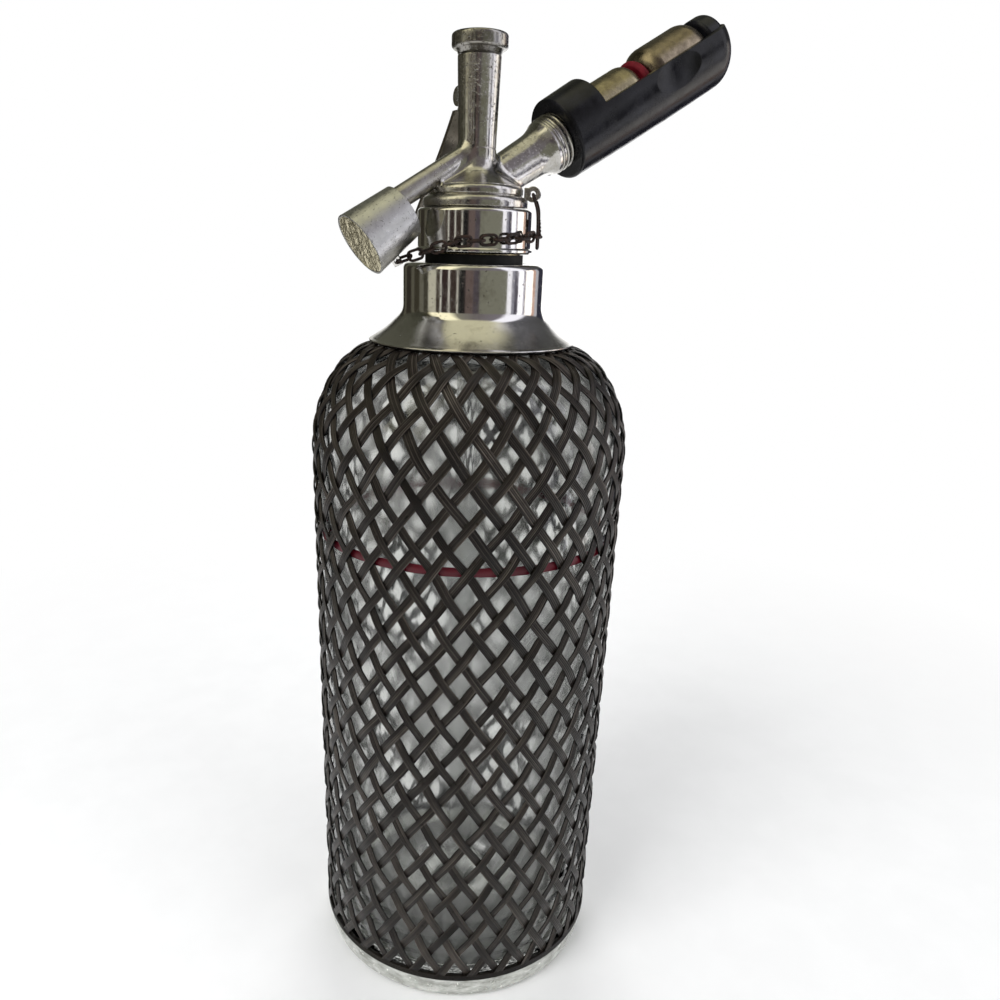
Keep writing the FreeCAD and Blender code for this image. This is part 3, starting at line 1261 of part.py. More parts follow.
def main():
    glass_bottle()
    collar_and_fittings()
    woven_net()
    union_nut()
    head_casting()
    post_cap()
    dip_tube()
    valve()
    lever()
    dust_cap()
    tether()
    chain_wire()
    piercing_parts()
    bulb_holder()
    gas_bulb_group()
    doc.recompute()
    check()
    os.makedirs("parts", exist_ok=True)
    for piece in kept:
        piece.Shape.exportStep(f"parts/{piece.Label}.step")
        print(f"{piece.Label}: {len(piece.Shape.Solids)} solids, {piece.Shape.Volume:.1f} mm3")


main()
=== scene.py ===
"""Looks of the soda siphon: woven net, glass, plated head, chain and studio."""

import json
import math

import bpy
import numpy as np
from mathutils import Matrix, Vector

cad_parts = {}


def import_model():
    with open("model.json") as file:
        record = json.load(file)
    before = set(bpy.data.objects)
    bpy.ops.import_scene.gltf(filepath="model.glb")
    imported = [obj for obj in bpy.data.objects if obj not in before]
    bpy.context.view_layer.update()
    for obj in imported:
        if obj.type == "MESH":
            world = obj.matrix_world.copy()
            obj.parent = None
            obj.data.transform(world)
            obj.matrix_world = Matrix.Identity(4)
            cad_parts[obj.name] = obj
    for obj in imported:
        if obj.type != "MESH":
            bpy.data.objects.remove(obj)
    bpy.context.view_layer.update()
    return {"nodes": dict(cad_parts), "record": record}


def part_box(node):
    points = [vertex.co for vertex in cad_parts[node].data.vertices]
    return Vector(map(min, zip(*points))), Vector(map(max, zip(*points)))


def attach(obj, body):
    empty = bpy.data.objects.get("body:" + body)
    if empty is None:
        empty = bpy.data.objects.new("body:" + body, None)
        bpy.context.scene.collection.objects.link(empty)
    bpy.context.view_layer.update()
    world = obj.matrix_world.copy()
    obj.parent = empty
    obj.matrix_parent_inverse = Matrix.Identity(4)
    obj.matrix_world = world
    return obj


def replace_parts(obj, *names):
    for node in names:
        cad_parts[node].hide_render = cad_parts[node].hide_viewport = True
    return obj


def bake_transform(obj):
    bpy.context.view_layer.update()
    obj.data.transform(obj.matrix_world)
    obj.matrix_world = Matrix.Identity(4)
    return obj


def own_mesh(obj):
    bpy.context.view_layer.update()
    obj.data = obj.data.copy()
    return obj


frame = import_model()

MM = 0.001
QUARTER = math.pi / 2
FULL_TURN = 2 * math.pi

# ---- places, in mm, from the frame
FIT_GAP = 0.3
FOOT_STEP = 0.6
NUT_LIP = 0.5
GLASS_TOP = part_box("glass_bottle")[1].z / MM
FOOT_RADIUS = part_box("glass_bottle")[1].x / MM
FOOT_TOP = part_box("net_bottom_hoop")[0].z / MM
HOOP_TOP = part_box("net_bottom_hoop")[1].z / MM
HOOP_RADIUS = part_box("net_bottom_hoop")[1].x / MM
TOP_HOOP_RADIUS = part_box("net_top_hoop")[1].x / MM
SKIRT_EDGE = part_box("neck_collar")[0].z / MM
SKIRT_EDGE_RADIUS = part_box("neck_collar")[1].x / MM
NUT_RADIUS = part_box("union_nut")[1].x / MM - NUT_LIP
NUT_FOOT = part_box("union_nut")[0].z / MM
NUT_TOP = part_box("union_nut")[1].z / MM
HEAD_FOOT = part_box("dip_tube_sleeve")[0].z / MM
POST_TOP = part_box("post_cap")[0].z / MM - FIT_GAP
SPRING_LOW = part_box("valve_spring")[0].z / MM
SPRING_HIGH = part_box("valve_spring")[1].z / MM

# the glass, as it is in the part
BODY_RADIUS = FOOT_RADIUS - FOOT_STEP
GLASS_WALL = 4.5
BASE_THICKNESS = 8.0
BASE_DOME = 2.0
BASE_FILLET = 6.0
SHOULDER_HEIGHT = 191.0
SHOULDER_ARC = 40.0
CROWN_ARC = 20.0
CROWN_REACH = 26.0
NECK_RADIUS = 16.5
NECK_BORE = 11.0
SHOULDER_CENTRE = BODY_RADIUS - SHOULDER_ARC
CROWN_RISE = math.sqrt((SHOULDER_ARC - CROWN_ARC) ** 2 - (CROWN_REACH - SHOULDER_CENTRE) ** 2)
CROWN_CENTRE = SHOULDER_HEIGHT + CROWN_RISE
CROWN_FLAT = CROWN_CENTRE + CROWN_ARC
SHOULDER_TURN = math.atan2(CROWN_RISE, CROWN_REACH - SHOULDER_CENTRE)

# the head, as it is in the part
HEAD_BORE = 11.7
LOWER_BEAD, UPPER_BEAD = 16.0, 14.5
HEAD_BASE = NUT_TOP + FIT_GAP
BEAD_STEP = HEAD_BASE + 3.3
BEADS_TOP = BEAD_STEP + 2.9
POST_RADIUS, POST_SPIGOT, SPIGOT_RISE = 6.4, 5.4, 2.2
LUG_ANGLE = -46.0
LUG_RADIUS, LUG_PLATE, LUG_RISE = 2.2, 1.4, 0.7

# the sloping axes: height on the bottle's axis, and degrees above level towards +X
SPOUT = (HEAD_FOOT + 22.2, 180 + 30.0)
OUTLET = (HEAD_FOOT + 20.9, 180 + 34.8)
SPIGOT = (HEAD_FOOT + 10.1, 29.6)

# how near the outline of a turned piece comes to the bottle's axis
AXIS = 0.01


# ---- materials
class Nodes:
    """A node tree, and short ways to add to it."""

    def __init__(self, tree):
        self.tree = tree
        self.place = self.node("TexCoord").outputs

    def node(self, kind, **settings):
        made = self.tree.nodes.new("ShaderNode" + kind)
        for key, setting in settings.items():
            setattr(made, key, setting)
        return made

    def feed(self, socket, value):
        """Gives a socket a value, or another node's output."""
        if isinstance(value, bpy.types.NodeSocket):
            self.tree.links.new(value, socket)
        else:
            socket.default_value = (*value, 1) if socket.type == "RGBA" else value

    def add(self, kind, inputs, output=0, **settings):
        """Adds a node with its inputs, and gives one of its outputs."""
        made = self.node(kind, **settings)
        for key, value in inputs.items():
            self.feed(made.inputs[key], value)
        return made.outputs[output]

    def coordinate(self, kind, axis):
        """The X, Y or Z of one kind of coordinates."""
        return self.add("SeparateXYZ", {0: self.place[kind]}, axis)

    def range(self, value, low, high, first=0.0, last=1.0, **settings):
        """Maps a value from low..high onto first..last."""
        ends = {"From Min": low, "From Max": high, "To Min": first, "To Max": last}
        return self.add("MapRange", {"Value": value, **ends}, **settings)

    def combine(self, operation, *values):
        """Arithmetic on numbers or outputs."""
        return self.add("Math", dict(enumerate(values)), operation=operation)

    def mix(self, share, first, last):
        """Mixes two colours."""
        return self.add("Mix", {0: share, 6: first, 7: last}, 2, data_type="RGBA")

    def mix_shaders(self, share, first, last):
        """Mixes two shaders."""
        return self.add("MixShader", {0: share, 1: first, 2: last})


class Material(Nodes):
    """A Principled material, with nodes for its colour, roughness and relief."""

    def __init__(self, name, colour, roughness, edge=0.0, **extras):
        self.material = bpy.data.materials.new(name)
        self.material.use_nodes = True
        super().__init__(self.material.node_tree)
        self.shader = self.tree.nodes["Principled BSDF"]
        self.surface = self.tree.nodes["Material Output"].inputs["Surface"]
        self.normal = None
        for key, value in {"Base_Color": colour, "Roughness": roughness, **extras}.items():
            self.give(key.replace("_", " "), value)
        if edge:
            self.bend(self.add("Bevel", {"Radius": edge}, samples=4))

    def give(self, key, value):
        """Sets one input of the shader."""
        self.feed(self.shader.inputs[key], value)

    def attribute(self, name):
        """A number that the mesh carries at each point."""
        return self.add("Attribute", {}, "Fac", attribute_name=name)

    def noise(self, scale, detail=3.0, roughness=0.55, stretch=(1, 1, 1)):
        """Noise with features about 1/scale metres across, finer along a stretched axis."""
        place = self.add("Mapping", {"Vector": self.place["Object"], "Scale": stretch})
        inputs = {"Vector": place, "Scale": scale, "Detail": detail, "Roughness": roughness}
        return self.add("TexNoise", inputs)

    def patches(self, scale, low, high, first=0.0, last=1.0, **grain):
        """Noise, with its values from low to high spread over first to last."""
        return self.range(self.noise(scale, **grain), low, high, first, last)

    def mottle(self, scale, low, high, first, last, **grain):
        """Colours the surface in patches of two colours."""
        self.give("Base Color", self.mix(self.patches(scale, low, high, **grain), first, last))

    def bend(self, normal):
        """Shades the surface with this normal."""
        self.normal = normal
        self.give("Normal", normal)

    def bump(self, value, depth, strength=1.0):
        """Adds relief: depth is in metres."""
        under = {"Normal": self.normal} if self.normal else {}
        self.bend(self.add("Bump", {"Height": value, "Distance": depth, "Strength": strength, **under}))


PLATE = (0.66, 0.645, 0.62)
TARNISH = (0.36, 0.34, 0.29)
PLATE_PIT = (0.1, 0.09, 0.07)
CASTING_PIT = (0.14, 0.13, 0.11)

# where one finish fades into the next, in metres: up the skirt, up the post and out along the spout
SKIRT_FADE = (0.2305, 0.233)
POST_FADE = (0.282, 0.300)
SPOUT_FADE = (-0.008, -0.016)


def mirror_plate():
    """Bright nickel plate with faint clouds, a few dark pits, and a duller skirt."""
    m = Material("bright_plate", PLATE, 0.06, edge=0.0003, Metallic=1.0)
    skirt = m.range(m.coordinate("Object", "Z"), *SKIRT_FADE, 1.0, 0.0)
    stain = m.patches(170, 0.52, 0.75, 0, 0.75, detail=6, roughness=0.7)
    spots = m.patches(950, 0.7, 0.76, 0, 0.6, detail=2, roughness=0.4)
    m.give("Base Color", m.mix(spots, m.mix(stain, PLATE, TARNISH), PLATE_PIT))
    worn = m.patches(380, 0.35, 0.75, 0.05, 0.18, detail=5, roughness=0.65)
    m.give("Roughness", m.combine("ADD", worn, m.range(skirt, 0, 1, 0.0, 0.1)))
    m.bump(m.noise(75, 2), 0.0005, 0.06)
    m.bump(spots, 0.00008, 0.5)
    return m


def cast_plate(name, shade=0.86):
    """Plate on the casting: pitted on the post, smoother on the beads, dull along the spout."""
    plate = tuple(shade * value for value in PLATE)
    m = Material(name, plate, 0.15, edge=0.0004, Metallic=1.0)
    post = m.range(m.coordinate("Object", "Z"), *POST_FADE)
    spout = m.range(m.coordinate("Object", "X"), *SPOUT_FADE)
    stain = m.patches(240, 0.42, 0.7, 0.1, 0.9, detail=6, roughness=0.7)
    pits = m.patches(1300, 0.58, 0.68, roughness=0.6)
    shown = m.combine("MULTIPLY", pits, m.range(post, 0, 1, 0.25, 0.9))
    m.give("Base Color", m.mix(shown, m.mix(stain, plate, TARNISH), CASTING_PIT))
    worn = m.patches(420, 0.3, 0.7, 0.05, 0.17, detail=5, roughness=0.65)
    worn = m.combine("ADD", worn, m.range(post, 0, 1, 0.04, 0.12))
    m.give("Roughness", m.combine("ADD", worn, m.range(spout, 0, 1, 0.0, 0.16)))
    m.bump(m.noise(160), 0.0005, 0.1)
    m.bump(shown, 0.00014, 0.6)
    m.bump(m.noise(700, 2, 0.5, (0.15, 1, 1)), 0.00003, 0.3)
    return m


def satin_plate(name, colour):
    """Dull grey plate, brushed round, with small dark specks."""
    m = Material(name, colour, 0.34, edge=0.0003, Metallic=1.0)
    stained, speck = (tuple(value * share for value in colour) for share in (0.7, 0.45))
    specks = m.patches(1500, 0.62, 0.7, 0, 0.9, detail=2, roughness=0.5)
    stain = m.patches(200, 0.45, 0.75, 0, 0.7, detail=5, roughness=0.7)
    m.give("Base Color", m.mix(specks, m.mix(stain, colour, stained), speck))
    m.give("Roughness", m.patches(500, 0.3, 0.7, 0.26, 0.44, detail=4))
    m.bump(specks, 0.00006, 0.5)
    m.bump(m.noise(2500, 2, 0.5, (1, 0.1, 1)), 0.00002, 0.4)
    return m


def brass(name, colour, dull, polish):
    """Bare brass gone brown in the hollows."""
    m = Material(name, colour, polish, edge=0.0003, Metallic=1.0)
    m.mottle(260, 0.35, 0.65, colour, dull, detail=5, roughness=0.7)
    m.give("Roughness", m.patches(600, 0.3, 0.7, polish - 0.08, polish + 0.18, detail=4))
    m.bump(m.noise(900, 4), 0.0001, 0.25)
    return m


def stamped_brass():
    """The crumpled brass face of the dust cap."""
    m = Material("stamped_brass", (0.62, 0.55, 0.36), 0.28, Metallic=1.0)
    m.mottle(420, 0.42, 0.68, (0.86, 0.79, 0.56), (0.45, 0.4, 0.27), detail=5, roughness=0.7)
    m.bump(m.noise(420, 3, 0.6), 0.0011, 0.6)
    m.bump(m.noise(1300, 2), 0.0002, 0.4)
    return m


def bakelite():
    """Black moulded bakelite, hazed where hands have rubbed it."""
    m = Material("black_bakelite", (0.01, 0.01, 0.011), 0.3, edge=0.0005, Specular_IOR_Level=0.22)
    m.mottle(110, 0.4, 0.75, (0.003, 0.003, 0.0035), (0.012, 0.012, 0.015), detail=5, roughness=0.6)
    m.give("Roughness", m.patches(240, 0.3, 0.7, 0.12, 0.32, detail=5, roughness=0.65))
    m.bump(m.noise(70, 2), 0.0008, 0.08)
    m.bump(m.noise(2200, 2), 0.00004, 0.25)
    return m


def net_wire():
    """Dark brown wire. Painted shade makes it nearly black in the grooves between wires and under each
    ribbon; the pale colour on some wires is partly wear and partly a painted highlight.
    """
    m = Material("net_wire", (0.02, 0.016, 0.013), 0.45, Specular_IOR_Level=0.28)
    # painted shade: near black where the crest height is low, in the grooves between wires and under the
    # ribbon, lit colour on the crests
    crest = m.range(m.attribute("crest"), 0.6, 1.0)
    worn = m.patches(120, 0.35, 0.7, 0.25, 1.0, detail=4, roughness=0.6)
    brown = m.mix(m.patches(60, 0.4, 0.65), (0.0075, 0.0053, 0.004), (0.017, 0.012, 0.009))
    # the pale colour: the worn patches are wear, the per-wire tint is a painted highlight
    wear_and_light = m.mix(m.combine("MULTIPLY", worn, m.attribute("tint")), brown, (0.12, 0.1, 0.083))
    m.give("Base Color", m.mix(crest, (0.001, 0.0008, 0.0007), wear_and_light))
    m.give("Roughness", m.patches(700, 0.3, 0.7, 0.26, 0.42))
    m.bump(m.noise(2600, 2), 0.00003, 0.3)
    return m


def rubber(name, colour):
    """Plain rubber, slightly paler in patches."""
    m = Material(name, colour, 0.6, edge=0.0002, Specular_IOR_Level=0.25)
    m.mottle(400, 0.4, 0.7, colour, tuple(value * 1.6 + 0.002 for value in colour), detail=4)
    m.bump(m.noise(2500), 0.00005, 0.35)
    return m


def red_enamel():
    """The red of the fill line, which lets some light through."""
    m = Material("red_enamel", (0.15, 0.003, 0.014), 0.35, Specular_IOR_Level=0.15, Transmission_Weight=0.6)
    m.mottle(130, 0.4, 0.7, (0.17, 0.003, 0.015), (0.1, 0.002, 0.011), detail=4)
    m.bump(m.noise(900, 2), 0.00004, 0.3)
    return m


def rusted_iron():
    """Thin iron wire, brown with rust."""
    m = Material("rusted_iron", (0.05, 0.03, 0.024), 0.55, Metallic=0.3)
    m.mottle(900, 0.4, 0.62, (0.01, 0.007, 0.006), (0.036, 0.017, 0.012), detail=4, roughness=0.7)
    m.bump(m.noise(3000), 0.0001, 0.5)
    return m


def clear_glass(name, tint, clouded, roughness, wave, haze=0.0):
    """Old pressed glass with slow waves in it, hazed in patches or clear."""
    m = Material(name, tint, roughness, IOR=1.5, Transmission_Weight=1.0)
    m.mottle(32, 0.38, 0.62, tint, clouded, stretch=(1, 1, 0.6))
    if haze:
        m.give("Roughness", m.patches(60, 0.38, 0.62, roughness, haze, stretch=(1, 1, 0.5)))
    m.bump(m.noise(55, 2, 0.5, (1, 1, 0.35)), 0.0012, wave)
    m.bump(m.noise(210, 2, 0.5, (1, 1, 0.5)), 0.0002, wave)
    return m


def foot_glass():
    """The thick foot: greenish glass, pale and less clear in streaky patches, partly from wear and partly as
    painted light for the bright floor seen through it.
    """
    m = Material("foot_glass", (0.86, 0.88, 0.82), 0.18, IOR=1.5)
    # painted light: the pale patches with less transmission are partly wear and partly the brightness of a
    # lit floor seen through the foot
    wear_and_light = m.patches(150, 0.4, 0.7, detail=5, roughness=0.7, stretch=(1, 1, 2.5))
    m.give("Base Color", m.mix(wear_and_light, (0.8, 0.82, 0.74), (0.95, 0.96, 0.92)))
    m.give("Transmission Weight", m.range(wear_and_light, 0, 1, 0.65, 0.3))
    m.give("Roughness", m.patches(420, 0.3, 0.7, 0.08, 0.3, detail=4))
    m.bump(m.noise(160, 3, 0.6, (1, 1, 3)), 0.0004, 0.4)
    return m


# every look, by the name that pieces and slots ask for it
LOOKS = {
    "chrome": mirror_plate(),
    "casting": cast_plate("cast_plate"),
    "cap_plate": cast_plate("cap_plate", 0.45),
    "satin": satin_plate("satin_plate", (0.6, 0.6, 0.58)),
    "dull": satin_plate("dull_plate", (0.3, 0.275, 0.235)),
    "steel": satin_plate("plain_steel", (0.55, 0.55, 0.55)),
    "bulb_steel": brass("bulb_metal", (0.29, 0.24, 0.17), (0.17, 0.14, 0.1), 0.22),
    "brass": brass("dull_brass", (0.38, 0.33, 0.21), (0.2, 0.17, 0.115), 0.24),
    "stamped": stamped_brass(),
    "bakelite": bakelite(),
    "net_wire": net_wire(),
    "black_rubber": rubber("black_rubber", (0.004, 0.004, 0.004)),
    "red_rubber": rubber("red_rubber", (0.08, 0.002, 0.006)),
    "red_enamel": red_enamel(),
    "chain_iron": rusted_iron(),
    "bottle_glass": clear_glass("bottle_glass", (0.76, 0.77, 0.755), (0.89, 0.895, 0.88), 0.02, 0.3),
    "inner_glass": clear_glass("inner_glass", (0.64, 0.65, 0.635), (0.88, 0.885, 0.87), 0.08, 0.4, 0.23),
    "foot_glass": foot_glass(),
    "tube_glass": clear_glass("tube_glass", (0.88, 0.89, 0.88), (0.94, 0.94, 0.94), 0.02, 0.2),
}


def dress_nodes():
    """Gives each carried-over CAD node its material."""
    slots = {entry["node"]: entry["material_slot"] for entry in frame["record"]["subparts"]}
    special = {"cap_disc": "stamped", "nozzle_cap": "satin", "lever": "dull", "head_casting": "casting",
               "post_cap": "casting"}
    for node, thing in frame["nodes"].items():
        for place in thing.material_slots:
            place.material = LOOKS[special.get(node, slots[node])].material


# ---- mesh helpers
def new_piece(name, vertices, faces, body, look):
    """A smooth mesh piece in metres from points in mm, riding on a body if one is named."""
    mesh = bpy.data.meshes.new(name)
    mesh.from_pydata((np.asarray(vertices, float) * MM).tolist(), [], faces)
    mesh.validate()
    mesh.polygons.foreach_set("use_smooth", [True] * len(mesh.polygons))
    piece = bpy.data.objects.new(name, mesh)
    bpy.context.scene.collection.objects.link(piece)
    mesh.materials.append(LOOKS[look].material)
    if body:
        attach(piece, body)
    return piece


def carry(piece, **numbers):
    """Stores a list of numbers, or one number for all, at the points of a piece."""
    count = len(piece.data.vertices)
    for label, values in numbers.items():
        layer = piece.data.attributes.new(label, "FLOAT", "POINT")
        layer.data.foreach_set("value", values if isinstance(values, list) else [values] * count)
    return piece


def shifted(faces, base):
    """The same faces, with their corners counted from a later point."""
    return [tuple(int(corner) + base for corner in face) for face in faces]


def tube_faces(rings, around, closed=False):
    """Quads between rings of points, and a flat face on each end unless the tube is closed."""
    faces = []
    for ring in range(rings if closed else rings - 1):
        low, high = ring * around, (ring + 1) % rings * around
        for step in range(around):
            after = (step + 1) % around
            faces.append((low + step, low + after, high + after, high + step))
    if not closed:
        faces.append(tuple(reversed(range(around))))
        faces.append(tuple(range((rings - 1) * around, rings * around)))
    return faces


def polar(radius, angle, height=0.0):
    """A point at an angle round the bottle's axis."""
    return radius * math.cos(angle), radius * math.sin(angle), height


def shares(steps):
    """Even shares from 0 to 1."""
    return [step / steps for step in range(steps + 1)]


def arc(centre, radius, start, end, steps):
    """Points on an arc, angles in radians."""
    angles = [start + (end - start) * step / steps for step in range(steps + 1)]
    return [(centre[0] + radius * math.cos(angle), centre[1] + radius * math.sin(angle)) for angle in angles]


def lathe(name, profile, body, look, around=192):
    """A closed profile of (radius, height) turned round the bottle's axis."""
    angles = [FULL_TURN * step / around for step in range(around)]
    vertices = [polar(radius, angle, height) for angle in angles for radius, height in profile]
    faces = [(a, d, c, b) for a, b, c, d in tube_faces(around, len(profile), closed=True)]
    return new_piece(name, vertices, faces, body, look)


def sloping(place):
    """A frame whose Z runs out along a sloping axis, and whose Y is the bottle's."""
    height, above = place
    angle = math.radians(above)
    out = Vector((math.cos(angle), 0, math.sin(angle)))
    across = Vector((0, 1, 0))
    matrix = Matrix((across.cross(out), across, out)).transposed().to_4x4()
    matrix.translation = Vector((0, 0, height))
    return matrix


# ---- glass
def glass_outside():
    """The outside of the glass: the foot, and the rest up to the mouth."""
    foot_rounding, foot_edge = 3.0, 0.55
    fillet, bead, bead_height = 2.5, 1.8, 5.5
    bead_foot = GLASS_TOP - bead_height
    foot = [(AXIS, 0)]
    foot += arc((FOOT_RADIUS - foot_rounding, foot_rounding), foot_rounding, -QUARTER, 0, 10)
    foot += arc((FOOT_RADIUS - foot_edge, FOOT_TOP - foot_edge), foot_edge, 0, QUARTER, 5)
    wall = [(BODY_RADIUS, FOOT_TOP + step) for step in np.linspace(0.3, SHOULDER_HEIGHT - FOOT_TOP - 1, 30)]
    wall += arc((SHOULDER_CENTRE, SHOULDER_HEIGHT), SHOULDER_ARC, 0, SHOULDER_TURN, 14)
    wall += arc((CROWN_REACH, CROWN_CENTRE), CROWN_ARC, SHOULDER_TURN, QUARTER, 14)[1:]
    wall += arc((NECK_RADIUS + fillet, CROWN_FLAT + fillet), fillet, 3 * QUARTER, 2 * QUARTER, 6)
    wall += [(NECK_RADIUS, bead_foot)]
    wall += arc((NECK_RADIUS, bead_foot + bead), bead, -QUARTER, 0, 6)
    wall += arc((NECK_RADIUS, GLASS_TOP - bead), bead, 0, QUARTER, 6)
    return foot, wall


def glass_inside():
    """The inside of the glass, from the mouth down over ridges to the dome of the base."""
    inside = BODY_RADIUS - GLASS_WALL
    ridges, ridge_pitch, ridge_top, wall_foot = 4, 7, 38, 44
    line = [(NECK_BORE, GLASS_TOP), (NECK_BORE, CROWN_FLAT - GLASS_WALL)]
    line += arc((CROWN_REACH, CROWN_CENTRE), CROWN_ARC - GLASS_WALL, QUARTER, SHOULDER_TURN, 14)
    line += arc((SHOULDER_CENTRE, SHOULDER_HEIGHT), SHOULDER_ARC - GLASS_WALL, SHOULDER_TURN, 0, 14)[1:]
    line += [(inside, height) for height in np.linspace(SHOULDER_HEIGHT - 3, wall_foot, 20)]
    for ridge in range(ridges):
        height = ridge_top - ridge_pitch * ridge
        line += [(inside - 0.05, height), (inside - 0.5 - 0.35 * ridge, height - 2.6),
                 (inside - 0.3 * ridge, height - 5)]
    line += arc((inside - BASE_FILLET - 1, BASE_THICKNESS + BASE_FILLET), BASE_FILLET, 0, -QUARTER, 8)[4:]
    dome = ((30, 0.3), (15, 0.85), (AXIS, 1))
    return line + [(radius, BASE_THICKNESS + BASE_DOME * share) for radius, share in dome]


def bottle():
    """The bottle: clear outside, hazy inside, and whitened round the foot, partly by wear and partly by
    painted light.
    """
    foot, wall = glass_outside()
    outside = len(foot) + len(wall)
    profile = foot + wall + glass_inside()
    piece = lathe("bottle_glass", profile, "bottle", "bottle_glass", around=256)
    for look in ("inner_glass", "foot_glass"):
        piece.data.materials.append(LOOKS[look].material)
    for number, face in enumerate(piece.data.polygons):
        place = number % len(profile)
        if 0 < place < len(foot):
            face.material_index = 2
        elif place >= outside and profile[place][1] > BASE_THICKNESS + BASE_FILLET:
            face.material_index = 1
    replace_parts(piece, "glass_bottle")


def fill_line():
    """The red fill line fired on the glass."""
    height, width = 164.1, 2.9
    lift, skin, soft = 0.02, 0.12, 0.2
    low, high = height - width / 2, height + width / 2
    ring = [(BODY_RADIUS + lift, low), (BODY_RADIUS + skin, low + soft),
            (BODY_RADIUS + skin, high - soft), (BODY_RADIUS + lift, high)]
    lathe("fill_line", ring, "bottle", "red_enamel")


# ---- collar and post cap
def collar():
    """The collar: rounded shoulder, tall cylinder, and a skirt that turns out to a thin edge."""
    radius, wall, mouth = 21.9, 0.8, 15.4
    rise, shoulder = 0.9, 1.9
    bend, turn, bend_rise = 4.5, math.radians(48), 10.9
    edge_round, hollow = 0.25, 0.45
    edge, rim = SKIRT_EDGE, SKIRT_EDGE_RADIUS
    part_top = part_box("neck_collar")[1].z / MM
    top = part_top + rise
    middle = (radius + bend, edge + bend_rise)
    start = (rim - 0.3, edge + 0.55)
    end = (middle[0] - bend * math.cos(turn), middle[1] - bend * math.sin(turn))
    cone = []
    for share in shares(12)[1:-1]:
        sag = hollow * math.sin(math.pi * share)
        cone.append((start[0] + (end[0] - start[0]) * share - sag,
                     start[1] + (end[1] - start[1]) * share - sag * 0.6))
    outer = arc((rim - edge_round, edge + edge_round), edge_round, -QUARTER, QUARTER, 6) + cone
    outer += arc(middle, bend, math.pi + turn, math.pi, 10)
    outer += [(radius, middle[1] + 0.5), (radius, top - shoulder - 0.4)]
    outer += arc((radius - shoulder, top - shoulder), shoulder, 0, QUARTER, 10)
    inner = [(mouth, top), (mouth, top - wall), (radius - shoulder, top - wall)]
    inner += [(radius - wall, part_top - 1.2), (radius - wall, middle[1] + 0.3)]
    inner += [(r - wall * 0.75, z - wall * 0.75) for r, z in reversed(cone)]
    inner += [(rim - 0.9, edge)]
    piece = lathe("collar_shell", outer + inner, "bottle", "chrome", around=256)
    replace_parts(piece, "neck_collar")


def cap_of_post():
    """The cap of the post: a disc with rounded corners and a sloping underside."""
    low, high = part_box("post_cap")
    foot, rim, top = low.z / MM, high.x / MM, high.z / MM
    lower, upper = 1.1, 0.9
    ceiling = foot + 3.2
    profile = [(POST_SPIGOT, foot), (POST_RADIUS - 0.1, foot), (rim - 1.5, foot + 1.2)]
    profile += arc((rim - lower, foot + 2.4), lower, math.radians(-70), 0, 10)
    profile += arc((rim - upper, top - upper - 0.15), upper, 0, QUARTER, 10)
    profile += [(5.0, top - 0.05), (AXIS, top), (AXIS, ceiling), (POST_SPIGOT, ceiling)]
    piece = lathe("post_cap_disc", profile, "head", "cap_plate", around=128)
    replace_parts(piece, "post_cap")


# ---- net
STRANDS = 31
MESH_LOW = 16.3
MESH_HIGH = 13.7
NET_START = -125.4
NET_DRIFT = 0.9
NET_SETTLE = 0.033
RIBBON_WIDTH = 2.95
WIRES = 5
NET_MIDDLE = 1.1
WEAVE_RISE = 0.38
SAMPLES_PER_ROW = 10
# the hoops' fixed levels of painted crest light and painted highlight
HOOP_WIRE = {"crest": 0.7, "tint": 0.25}
STRAIGHT = SHOULDER_HEIGHT - HOOP_TOP


def on_glass(run, out):
    """Radius, height and outward slope of the glass at a length above the hoop, pushed out by out."""
    if run <= STRAIGHT:
        return BODY_RADIUS + out, HOOP_TOP + run, 1.0, 0.0
    turn = (run - STRAIGHT) / SHOULDER_ARC
    reach, height, radius = SHOULDER_CENTRE, SHOULDER_HEIGHT, SHOULDER_ARC
    if turn > SHOULDER_TURN:
        turn = SHOULDER_TURN + (run - STRAIGHT - SHOULDER_ARC * SHOULDER_TURN) / CROWN_ARC
        reach, height, radius = CROWN_REACH, CROWN_CENTRE, CROWN_ARC
    across, up = math.cos(turn), math.sin(turn)
    return reach + (radius + out) * across, height + (radius + out) * up, across, up


def net_rows():
    """Lengths above the hoop, and how many diamonds up each is."""
    last = math.acos((TOP_HOOP_RADIUS + 0.2 - CROWN_REACH) / (CROWN_ARC + NET_MIDDLE))
    length = STRAIGHT + SHOULDER_ARC * SHOULDER_TURN + CROWN_ARC * (last - SHOULDER_TURN)
    runs, rows = [0.0], [0.0]
    while runs[-1] < length:
        height = MESH_LOW + (MESH_HIGH - MESH_LOW) * min(runs[-1] / STRAIGHT, 1.0)
        step = min(height / SAMPLES_PER_ROW, length - runs[-1] + 1e-6)
        runs.append(runs[-1] + step)
        rows.append(rows[-1] + step / height)
    return runs, rows


def ribbon_section():
    """Points over the top of one ribbon and back under it: (share of the half width, wire radii up, wire)."""
    section = []
    for wire in range(WIRES):
        for share in (-0.98, -0.72, -0.3, 0.3, 0.72):
            across = (wire + 0.5 + share / 2) / WIRES * 2 - 1
            section.append((across, math.sqrt(max(1 - share * share, 0.0)), wire))
    section.append((1.0, 0.1, WIRES - 1))
    return section + [(0.92, -0.8, WIRES - 1), (0.0, -0.85, WIRES // 2), (-0.92, -0.8, 0)]


